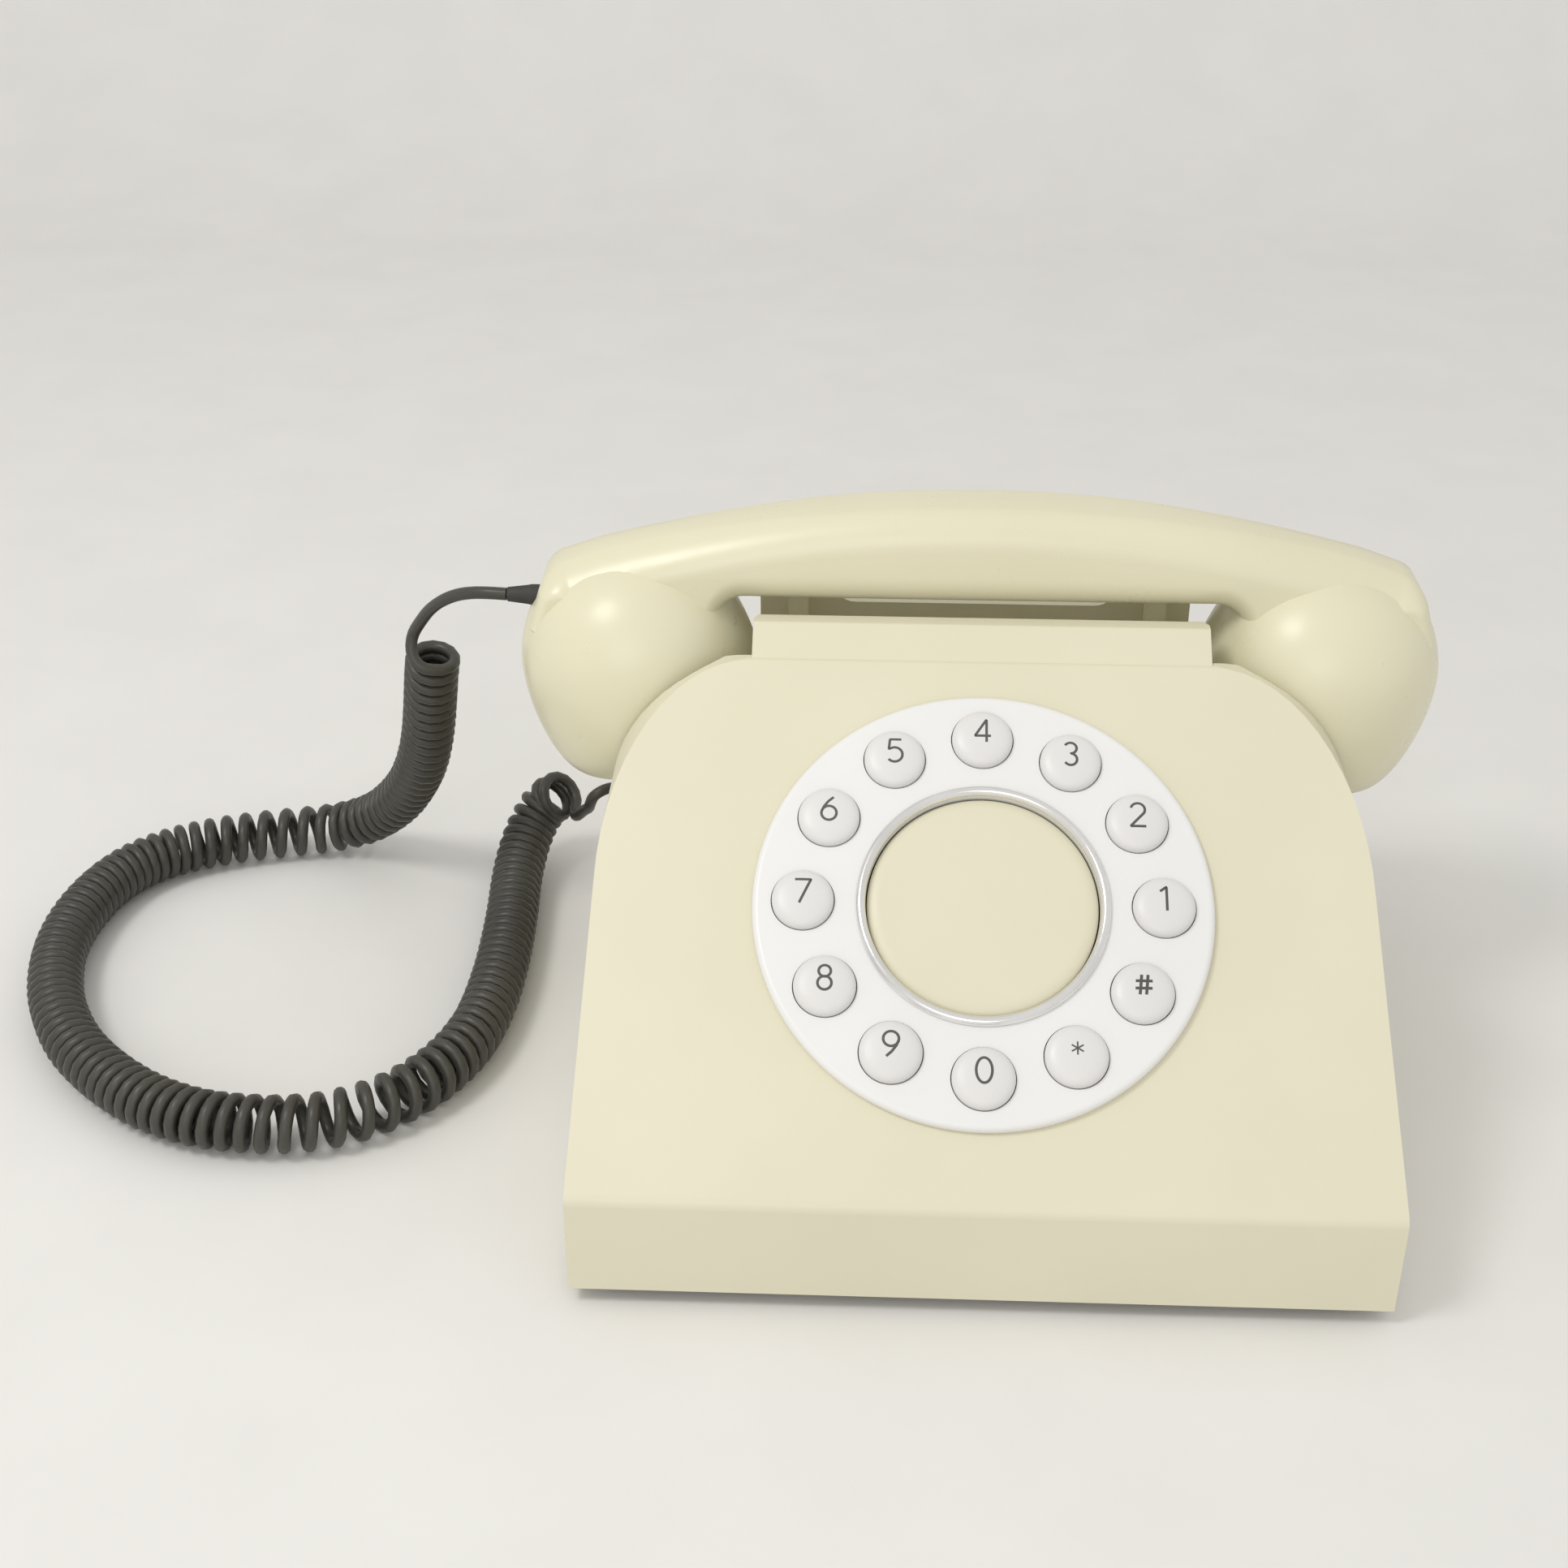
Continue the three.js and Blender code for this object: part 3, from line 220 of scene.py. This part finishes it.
def lathe(profile, sides):
    """Points and faces of a body turned about Z, from [radius, height] pairs."""
    points, faces, rings = [], [], []
    for radius, height in profile:
        if radius < 1e-9:
            rings.append([len(points)] * sides)
            points.append((0, 0, height))
            continue
        ring = []
        for side in range(sides):
            angle = 2 * math.pi * side / sides
            ring.append(len(points))
            points.append((radius * math.cos(angle), radius * math.sin(angle), height))
        rings.append(ring)
    for lower, upper in zip(rings, rings[1:]):
        for side in range(sides):
            after = (side + 1) % sides
            face = [lower[side], lower[after], upper[after], upper[side]]
            faces.append(list(dict.fromkeys(face)))
    return points, [face for face in faces if len(face) > 2]


def apply_modifiers(piece):
    bpy.context.view_layer.update()
    graph = bpy.context.evaluated_depsgraph_get()
    mesh = bpy.data.meshes.new_from_object(piece.evaluated_get(graph))
    piece.modifiers.clear()
    piece.data = mesh


def combine(piece, cutter, operation):
    """Boolean of two closed pieces; the second is used up."""
    step = piece.modifiers.new("combine", "BOOLEAN")
    step.operation = operation
    step.solver = "EXACT"
    step.object = cutter
    apply_modifiers(piece)
    bpy.data.objects.remove(cutter)


def arc(centre, radius, start, end, steps=24):
    """Points on an arc, or on an ellipse with a pair of radii, angles in degrees."""
    wide, tall = radius if hasattr(radius, "__len__") else (radius, radius)
    angles = [math.radians(start + (end - start) * step / steps) for step in range(steps + 1)]
    return [(centre[0] + wide * math.cos(a), centre[1] + tall * math.sin(a)) for a in angles]


def rounded(corners, steps=8):
    """A closed outline from (u, v, radius) corners, each rounded with a tangent arc."""
    outline = []
    for index, (u, v, radius) in enumerate(corners):
        corner = Vector((u, v))
        back = (Vector(corners[index - 1][:2]) - corner).normalized()
        ahead = (Vector(corners[(index + 1) % len(corners)][:2]) - corner).normalized()
        if radius <= 0:
            outline.append((u, v))
            continue
        half = back.angle(ahead) / 2
        centre = corner + (back + ahead).normalized() * radius / math.sin(half)
        start = corner + back * radius / math.tan(half) - centre
        sweep = start.angle_signed(corner + ahead * radius / math.tan(half) - centre)
        for step in range(steps + 1):
            turn = Matrix.Rotation(-sweep * step / steps, 2)
            outline.append(tuple(centre + turn @ start))
    return outline


def smooth_path(points, per_span):
    """A smooth line through the points, with this many steps between each two."""
    knots = [Vector(point) for point in points]
    line = []
    for index in range(len(knots) - 1):
        here, there = knots[index], knots[index + 1]
        before = knots[index - 1] if index > 0 else here * 2 - there
        after = knots[index + 2] if index + 2 < len(knots) else there * 2 - here
        first = here + (there - before) / 6
        second = there - (after - here) / 6
        line += interpolate_bezier(here, first, second, there, per_span + 1)[:-1]
    return line + [knots[-1]]


def even_path(points, spacing):
    """The same line with its points spaced evenly."""
    result = [points[0].copy()]
    left = spacing
    for here, there in zip(points, points[1:]):
        span = (there - here).length
        at = left
        while at <= span:
            result.append(here.lerp(there, at / span))
            at += spacing
        left = at - span
    return result


def frames_along(path, side_hint):
    """For each point of a path, two directions square to it that turn as little as they can."""
    result = []
    side = Vector(side_hint)
    for index, point in enumerate(path):
        ahead = path[min(index + 1, len(path) - 1)] - path[max(index - 1, 0)]
        ahead.normalize()
        side = (side - ahead * side.dot(ahead)).normalized()
        result.append((side.copy(), ahead.cross(side)))
    return result


def tube(name, path, radius, sides, look, side_hint):
    """A round tube, capped at its ends, along points in millimetres."""
    points, faces = [], []
    for centre, (side, up) in zip(path, frames_along(path, side_hint)):
        for step in range(sides):
            angle = 2 * math.pi * step / sides
            points.append(centre + (side * math.cos(angle) + up * math.sin(angle)) * radius)
    for ring in range(len(path) - 1):
        for step in range(sides):
            after = (step + 1) % sides
            low, high = ring * sides, (ring + 1) * sides
            faces.append([low + step, low + after, high + after, high + step])
    faces.append(list(range(sides))[::-1])
    faces.append(list(range(len(points) - sides, len(points))))
    return mesh_piece(name, points, faces, look, smooth_angle=60)


# ---------------------------------------------------------------- cord
# The route's points in metres, as in the CAD.
HANDSET_LEAD = [
    (-0.1168, 0.0415, 0.1114), (-0.1216, 0.042, 0.1114), (-0.126, 0.0436, 0.1106),
    (-0.1304, 0.046, 0.1088), (-0.1349, 0.049, 0.1057), (-0.1389, 0.0522, 0.1016),
    (-0.142, 0.0546, 0.0972), (-0.1444, 0.0566, 0.0934),
]
CURLY_CORD = [
    (-0.1395, 0.058, 0.0896), (-0.1412, 0.06, 0.0818), (-0.1428, 0.063, 0.073),
    (-0.1445, 0.0665, 0.064), (-0.1466, 0.0706, 0.0549), (-0.1495, 0.0755, 0.0455),
    (-0.1533, 0.081, 0.0366), (-0.1582, 0.0866, 0.028), (-0.164, 0.0917, 0.0204),
    (-0.1704, 0.096, 0.0144), (-0.1766, 0.0987, 0.0106), (-0.183, 0.0996, 0.0085),
    (-0.19, 0.099, 0.0077), (-0.198, 0.0972, 0.0076), (-0.2075, 0.0946, 0.0076),
    (-0.2165, 0.0912, 0.0076), (-0.2265, 0.0858, 0.0076), (-0.235, 0.0776, 0.0076),
    (-0.2402, 0.0678, 0.0076), (-0.243, 0.057, 0.0076), (-0.244, 0.045, 0.0076),
    (-0.2432, 0.033, 0.0076), (-0.2408, 0.022, 0.0076), (-0.237, 0.011, 0.0076),
    (-0.2318, 0.0005, 0.0076), (-0.2258, -0.0087, 0.0076), (-0.2188, -0.0167, 0.0076),
    (-0.2108, -0.024, 0.0076), (-0.2023, -0.0302, 0.0076), (-0.1934, -0.0348, 0.0076),
    (-0.184, -0.0378, 0.0076), (-0.174, -0.039, 0.0076), (-0.164, -0.0388, 0.0076),
    (-0.1547, -0.0368, 0.0076), (-0.1463, -0.0326, 0.0076), (-0.1387, -0.0262, 0.0076),
    (-0.1325, -0.0182, 0.0076), (-0.1279, -0.0088, 0.0076), (-0.1249, 0.002, 0.0076),
    (-0.1234, 0.015, 0.0076), (-0.123, 0.03, 0.0076), (-0.1234, 0.045, 0.0076),
    (-0.1241, 0.058, 0.0076), (-0.125, 0.07, 0.008), (-0.1252, 0.08, 0.0094),
    (-0.1243, 0.0885, 0.0124), (-0.1222, 0.094, 0.0162), (-0.1188, 0.097, 0.0202),
    (-0.1128, 0.095, 0.0246),
]
BASE_LEAD = [
    (-0.1123, 0.0893, 0.0232), (-0.1098, 0.0878, 0.0238), (-0.107, 0.0854, 0.0248),
    (-0.105, 0.0824, 0.0268), (-0.104, 0.0796, 0.03), (-0.1027, 0.0784, 0.033),
    (-0.1, 0.0794, 0.0345), (-0.0972, 0.0813, 0.0343), (-0.0939, 0.082, 0.034),
]
POINTS_PER_TURN = 14
CORE_STEP = 0.05                 # along the coil's own centreline, in millimetres
BRIDGE_STEP = 1.6                # along a bridge, in millimetres
LEAD_TO_COIL = (1, 16, 0.55)     # points cut from each side, and the bridge's reach
COIL_TO_BASE = (7, 8, 0.4)
TIGHT_TURN = 3.5                 # spacing of turns that touch, in millimetres
OPEN_TURNS = ((-196, 98, 24, 2.6), (-150, -36, 26, 2.6))  # x, y, how far, extra spacing


def in_millimetres(points):
    return [Vector(point) * 1000 for point in points]


def turn_spacing(point):
    extra = 0
    for x, y, reach, more in OPEN_TURNS:
        away = math.hypot(point.x - x, point.y - y) / reach
        extra += more * math.exp(-away * away)
    return TIGHT_TURN + extra


def helix_points():
    """The wire's centreline round the coil's own centreline."""
    core = even_path(smooth_path(in_millimetres(CURLY_CORD), 12), CORE_STEP)
    around = frames_along(core, (-1, 0, 0))
    points = []
    angle = 0
    next_angle = math.pi / 4
    for centre, (side, up) in zip(core, around):
        angle += 2 * math.pi * CORE_STEP / turn_spacing(centre)
        if angle >= next_angle:
            offset = side * math.cos(angle) - up * math.sin(angle)
            points.append(centre + offset * HELIX_RADIUS)
            next_angle += 2 * math.pi / POINTS_PER_TURN
    return points


def bridged(first, second, cut_first, cut_second, reach):
    """Joins two paths by one smooth curve, in place of the points cut from their facing ends.

    The curve leaves and arrives along the paths; reach is how far it keeps to them, as a share of its gap.
    """
    first = first[:-cut_first]
    second = second[cut_second:]
    here, there = first[-1], second[0]
    gap = (there - here).length
    leave = here + (here - first[-2]).normalized() * gap * reach
    arrive = there - (second[1] - there).normalized() * gap * reach
    steps = round(gap * 1.25 / BRIDGE_STEP)
    return first + interpolate_bezier(here, leave, arrive, there, steps + 1)[1:-1] + second


lead_path = smooth_path(in_millimetres(HANDSET_LEAD), 3)
base_path = smooth_path(in_millimetres(BASE_LEAD), 3)
cord_path = bridged(lead_path, helix_points(), *LEAD_TO_COIL)
cord_path = bridged(cord_path, base_path, *COIL_TO_BASE)
cord = tube("curly_cord_wire", cord_path, WIRE / 2, 10, "cord_jacket", (0, 1, 0))
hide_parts("handset_lead", "curly_cord", "base_lead")
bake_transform(cord)


# ---------------------------------------------------------------- housing
def softened_copy(node, name, look, body, radius, steps=3):
    """A CAD node's shape with its sharp edges rounded off."""
    mesh = nodes[node].data.copy()
    piece = bpy.data.objects.new(name, mesh)
    bpy.context.scene.collection.objects.link(piece)
    work = bmesh.new()
    work.from_mesh(mesh)
    bmesh.ops.remove_doubles(work, verts=work.verts, dist=0.00001)
    bmesh.ops.dissolve_limit(work, angle_limit=math.radians(0.6), verts=work.verts, edges=work.edges)
    work.to_mesh(mesh)
    work.free()
    bevel = piece.modifiers.new("bevel", "BEVEL")
    bevel.width = radius * MM
    bevel.segments = steps
    bevel.limit_method = "ANGLE"
    bevel.angle_limit = math.radians(32)
    bevel.miter_outer = "MITER_ARC"
    bevel.harden_normals = False
    weight = piece.modifiers.new("weight", "WEIGHTED_NORMAL")
    weight.keep_sharp = True
    weight.weight = 80
    for polygon in mesh.polygons:
        polygon.use_smooth = True
    apply_modifiers(piece)
    dress(piece, look)
    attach(piece, body)
    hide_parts(node)
    return piece


softened_copy("housing", "body_shell", "ivory_plastic", "base", 0.9)

# ---------------------------------------------------------------- dial and buttons
ON_FACE = Matrix.Translation((0, DIAL_Y, DIAL_Z)) @ Matrix.Rotation(FACE_ANGLE, 4, "X")


def on_face(piece, x=0.0, y=0.0):
    """Puts a piece made round the origin at a place on the sloping face."""
    piece.data.transform(ON_FACE @ Matrix.Translation((x * MM, y * MM, 0)))
    piece.data.update()
    return piece


def turned_piece(name, profile, sides, look, smooth_angle=40):
    points, faces = lathe(profile, sides)
    return mesh_piece(name, points, faces, look, smooth_angle=smooth_angle)


def plug(name, radius, bottom, top, sides):
    """A closed cylinder to cut with."""
    return turned_piece(name, [(0, bottom), (radius, bottom), (radius, top), (0, top)], sides, None)


def button_place(index):
    angle = math.pi / 2 - index * math.pi / 6
    return BUTTON_PITCH_RADIUS * math.cos(angle), BUTTON_PITCH_RADIUS * math.sin(angle)


def quarter_round(radius, top, size, steps=6, depth=None):
    """[radius, height] pairs that round off the upper edge of a turned piece."""
    depth = depth or size
    angles = [math.pi / 2 * step / steps for step in range(steps + 1)]
    return [(radius - size + size * math.cos(a), top - depth + depth * math.sin(a)) for a in angles]


plate = turned_piece("dial_plate_satin", [(0, 0.02), (DIAL_RADIUS - 0.4, 0.02), (DIAL_RADIUS, 0.4)]
                     + quarter_round(DIAL_RADIUS, PLATE_TOP, 1.5, 8, 1.3) + [(0, PLATE_TOP)], 160, None)
for index in range(12):
    hole = plug("hole", BUTTON_RADIUS + 0.25, -1, 4, 64)
    x, y = button_place(index)
    hole.data.transform(Matrix.Translation((x * MM, y * MM, 0)))
    combine(plate, hole, "DIFFERENCE")
combine(plate, plug("middle", CAP_RADIUS + 0.3, -1, 4, 128), "DIFFERENCE")
finish_mesh(plate, 30)
dress(plate, "white_plastic")
on_face(plate)
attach(plate, "base")
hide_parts("dial_plate")

ring_middle = CAP_RADIUS + 0.3 + RING_HALF_WIDTH
ring_profile = [(ring_middle + RING_HALF_WIDTH * math.cos(math.radians(a)),
                 PLATE_TOP + 0.25 + RING_HALF_WIDTH * 1.15 * max(math.sin(math.radians(a)), -0.2))
                for a in range(-20, 201, 12)]
ring = turned_piece("dial_ring_chrome", ring_profile + ring_profile[:1], 160, "chrome")
on_face(ring)
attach(ring, "base")
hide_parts("dial_ring")

cap = turned_piece("centre_cap_ivory",
                   [(0, -1.4), (CAP_RADIUS - 3, -1.4), (CAP_RADIUS - 3, 0.1), (CAP_RADIUS, 0.1)]
                   + quarter_round(CAP_RADIUS, PLATE_TOP - 0.35, 3.2, 10, 1.5) + [(0, PLATE_TOP - 0.3)],
                   160, "ivory_plastic", 30)
on_face(cap)
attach(cap, "base")
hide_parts("centre_cap")

DOME = [(7.0, 2.9), (6.88, 3.35), (6.6, 3.78), (6.1, 4.16), (5.4, 4.46), (4.4, 4.7), (3.0, 4.87),
        (1.5, 4.96), (0, 5.0)]
DOME_LINE = [point[:2] for point in smooth_path([(r, h, 0) for r, h in DOME], 3)]
STEM = [(0, STEM_BOTTOM), (STEM_RADIUS, STEM_BOTTOM), (STEM_RADIUS, -1), (FLANGE_RADIUS, -1),
        (FLANGE_RADIUS, 0), (BUTTON_RADIUS, 0)]


def dome_height(radius):
    for (outer, low), (inner, high) in zip(DOME_LINE, DOME_LINE[1:]):
        if inner <= radius <= outer:
            return low + (high - low) * (outer - radius) / (outer - inner)
    return DOME_LINE[0][1]


# Each mark is a few strokes, lines of (across, up) in millimetres about the mark's middle.
CIRCLE_OF_SIX = arc((0, -1.15), 1.72, 0, 360, 36)
TAIL_OF_SIX = [(1.0, 2.85), (-0.2, 1.75), (-1.15, 0.45), (-1.66, -0.7)]
STROKES = {
    "0": [arc((0, 0), (1.75, 2.85), 0, 360, 44)],
    "1": [[(-1.15, 1.75), (0.3, 2.85), (0.3, -2.85)]],
    "2": [arc((-0.05, 1.25), 1.6, 165, -38) + [(-1.75, -2.85), (1.75, -2.85)]],
    "3": [arc((-0.15, 1.45), 1.4, 150, -90) + arc((-0.15, -1.4), 1.45, 90, -150)],
    "4": [[(1.85, -1.3), (-1.8, -1.3), (0.85, 2.85), (0.85, -2.85)]],
    "5": [[(1.45, 2.85), (-1.15, 2.85), (-1.4, 0.35)] + arc((-0.05, -1.05), 1.8, 126, -140)],
    "6": [CIRCLE_OF_SIX, TAIL_OF_SIX],
    "7": [[(-1.8, 2.85), (1.8, 2.85), (-0.75, -2.85)]],
    "8": [arc((0, 1.5), 1.35, 0, 360, 32), arc((0, -1.3), 1.55, 0, 360, 36)],
    "9": [[(-x, -y) for x, y in CIRCLE_OF_SIX], [(-x, -y) for x, y in TAIL_OF_SIX]],
    "hash": [[(-0.95, -2.3), (-0.45, 2.3)], [(0.45, -2.3), (0.95, 2.3)],
             [(-1.8, 0.85), (1.9, 0.85)], [(-1.9, -0.85), (1.8, -0.85)]],
    "star": [[(-x, -y), (x, y)] for x, y in arc((0, 0), 1.5, 30, 150, 2)],
}
STROKE_WIDTH = {"hash": 0.66, "star": 0.36}
PLAIN_STROKE = 0.6
MARK_RAISE = 1.3                 # a mark sits a little above the middle of its button
INK_LIFT = 0.03


def stroke_ribbon(line, width):
    """Left and right sides of a stroke, as rows of two points."""
    path = even_path([Vector((x, y)) for x, y in line], 0.15) + [Vector(line[-1])]
    rows = []
    for index, point in enumerate(path):
        ahead = path[min(index + 1, len(path) - 1)] - path[max(index - 1, 0)]
        across = Vector((-ahead.y, ahead.x)).normalized() * width / 2
        rows.append((point + across, point - across))
    return rows


def digit_piece(name):
    """A mark as a thin printed skin that follows the button's dome."""
    points, faces = [], []
    for line in STROKES[name]:
        rows = stroke_ribbon(line, STROKE_WIDTH.get(name, PLAIN_STROKE))
        first = len(points)
        for row in rows:
            for point in row:
                up = point.y + MARK_RAISE
                points.append((point.x, up, dome_height(math.hypot(point.x, up)) + INK_LIFT))
        for row in range(len(rows) - 1):
            low = first + 2 * row
            faces.append([low, low + 1, low + 3, low + 2])
    mark = mesh_piece("digit_" + name, points, faces, None)
    mark.data.materials.append(ink)
    return mark


for index, name in enumerate(BUTTON_NAMES):
    x, y = button_place(index)
    button = turned_piece("push_button_" + name, STEM + DOME_LINE, 64, "button_plastic")
    on_face(button, x, y)
    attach(button, "button_" + name)
    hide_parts("button_" + name)
    digit = on_face(digit_piece(name), x, y)
    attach(digit, "button_" + name)

# ---------------------------------------------------------------- handset
# A cup's outline as shares of its radius and of its length, from the mouth to the crown.
CUP_SHAPE = [(0.67, 0), (0.79, 0.015), (0.88, 0.053), (0.94, 0.114), (0.98, 0.2), (1, 0.31), (1, 0.42),
             (0.98, 0.53), (0.93, 0.645), (0.835, 0.753), (0.69, 0.855), (0.49, 0.937), (0.25, 0.986),
             (0, 1)]


def in_cup(piece, side):
    """Turns a piece that stands on a cup's mouth, with its axis along Z, into the handset's cup."""
    place = Matrix.Translation((side * CUP_X * MM, HANDSET_Y * MM, CUP_MOUTH_HEIGHT * MM))
    piece.data.transform(place @ Matrix.Rotation(side * CUP_TILT, 4, "Y"))
    piece.data.update()
    return piece


def handle_outline():
    crown_half = HANDSET_END - 21
    crown = [crown_half * (1 - step / 40) for step in range(81)]
    crown = [(x, HANDLE_TOP - x * x / (2 * HANDLE_CROWN_RADIUS), 0) for x in crown]
    leg_bottom = LEAD_HEIGHT - 12
    corner_z = HANDLE_TOP - (HANDSET_END - 7.5) ** 2 / (2 * HANDLE_CROWN_RADIUS) - 1
    underside = [(NECK_HALF_GAP * (step / 20 - 1) * 0.85, HANDLE_UNDERSIDE, 0) for step in range(41)]
    return rounded([
        (HANDSET_END - 8.5, leg_bottom, 0), (HANDSET_END - 2.2, LEAD_HEIGHT - 7.4, 7),
        (HANDSET_END - 7.5, corner_z, 11), *crown, (-HANDSET_END + 7.5, corner_z, 11),
        (-HANDSET_END + 2.2, LEAD_HEIGHT - 7.4, 7), (-HANDSET_END + 8.5, leg_bottom, 0),
        (-NECK_HALF_GAP, leg_bottom, 0), (-NECK_HALF_GAP, HANDLE_UNDERSIDE, 7), *underside,
        (NECK_HALF_GAP, HANDLE_UNDERSIDE, 7), (NECK_HALF_GAP, leg_bottom, 0),
    ], 12)


def outline_normals(outline):
    """For each point of the outline, the direction out of it and how far its sides' offsets spread."""
    result = []
    for index, point in enumerate(outline):
        here = Vector(point)
        back = (here - Vector(outline[index - 1])).normalized()
        ahead = (Vector(outline[(index + 1) % len(outline)]) - here).normalized()
        middle = (back + ahead).normalized()
        out = Vector((middle.y, -middle.x))
        result.append((out, max(out.dot(Vector((back.y, -back.x))), 0.5)))
    return result


def eased(low, high, value):
    along = min(max((value - low) / (high - low), 0), 1)
    return along * along * (3 - 2 * along)


def handle_point(point, out, offset_spread, along):
    """A point of the handle's skin, from the edge of its flat band (0) to its front face (1).

    The top's flat band is wide and soft in the middle, narrow and crisp at the ends.
    """
    x, z = point
    end = eased(25, 95, abs(x))
    upright = out.y * out.y
    band = 5.2 - 1.8 * end + 4.5 * (1 - upright)
    lean = (0.7 + 2.9 * end) * upright if out.y > 0 else 0.4
    turn = 2.6 + (5.6 - 2.4 * end) * upright
    inset = lean * along + turn * (1 - math.sqrt(1 - along * along))
    depth = band + (HANDLE_HALF_DEPTH - band) * along
    moved = Vector(point) - out * inset / offset_spread
    return moved, depth


def handle_piece():
    outline = handle_outline()
    normals = outline_normals(outline)
    shares = [math.sin(math.radians(7.5 * step)) for step in range(13)]
    rings = [(share, -1) for share in reversed(shares)] + [(share, 1) for share in shares]
    points, faces = [], []
    for share, side in rings:
        for point, (out, offset_spread) in zip(outline, normals):
            moved, depth = handle_point(point, out, offset_spread, share)
            points.append((moved.x, HANDSET_Y + side * depth, moved.y))
    count = len(outline)
    for ring in range(len(rings) - 1):
        for step in range(count):
            after = (step + 1) % count
            low, high = ring * count, (ring + 1) * count
            faces.append([low + step, low + after, high + after, high + step])
    faces.append(list(range(count))[::-1])
    faces.append(list(range(len(points) - count, len(points))))
    return mesh_piece("handset_shell", points, faces, None)


def cup_piece(side):
    shape = smooth_path([(r * CUP_RADIUS, h * CUP_LENGTH, 0) for r, h in CUP_SHAPE], 4)
    profile = [(0, 0)] + [(max(point.x, 0), point.y) for point in shape[:-1]] + [(0, CUP_LENGTH)]
    return in_cup(turned_piece("cup", profile, 128, None), side)


# Degrees: steeper edges, such as where the cups meet the handle, stay crisp.
HANDSET_SHARP = 22
handset = handle_piece()
for side in (-1, 1):
    combine(handset, cup_piece(side), "UNION")
    mouth = plug("mouth", CAP_DISC_RADIUS + 0.3, -3, 5, 96)
    combine(handset, in_cup(mouth, side), "DIFFERENCE")
finish_mesh(handset, HANDSET_SHARP)
dress(handset, "handset_plastic")
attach(handset, "handset")
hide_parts("handset_body")

# ---------------------------------------------------------------- table, light
table_mesh = bpy.data.meshes.new("table")
sweep = [(-1.5, 0.0), (0.75, 0.0)]
sweep += [(0.75 + 0.35 * math.sin(math.radians(a)), 0.35 - 0.35 * math.cos(math.radians(a)))
          for a in range(10, 91, 10)] + [(1.10, 1.6)]
table_points = [(x, y, z) for y, z in sweep for x in (-2.2, 2.2)]
table_faces = [[2 * i, 2 * i + 1, 2 * i + 3, 2 * i + 2] for i in range(len(sweep) - 1)]
table_mesh.from_pydata(table_points, [], table_faces)
for polygon in table_mesh.polygons:
    polygon.use_smooth = True
table = bpy.data.objects.new("table", table_mesh)
bpy.context.scene.collection.objects.link(table)
table_mesh.materials.append(moulded("table_paint", (0.78, 0.77, 0.75), (0.80, 0.79, 0.77), 0.55))


def area_light(name, place, target, size, power, colour):
    data = bpy.data.lights.new(name, "AREA")
    data.shape = "DISK"
    data.size = size
    data.energy = power
    data.color = colour
    light = bpy.data.objects.new(name, data)
    light.location = place
    aim = Vector(target) - Vector(place)
    light.rotation_euler = aim.to_track_quat("-Z", "Y").to_euler()
    bpy.context.scene.collection.objects.link(light)


area_light("key", (-0.55, -0.35, 1.0), (0, 0, 0.05), 0.35, 3.6, (1, 0.985, 0.955))
area_light("front", (-0.2, -1.5, 0.75), (0, 0, 0.05), 0.9, 2.9, (1, 0.99, 0.97))
world = bpy.data.worlds.new("studio")
world.use_nodes = True
world.node_tree.nodes["Background"].inputs["Color"].default_value = (0.93, 0.92, 0.90, 1)
world.node_tree.nodes["Background"].inputs["Strength"].default_value = 0.85
bpy.context.scene.world = world
bpy.context.scene.view_settings.view_transform = "Standard"
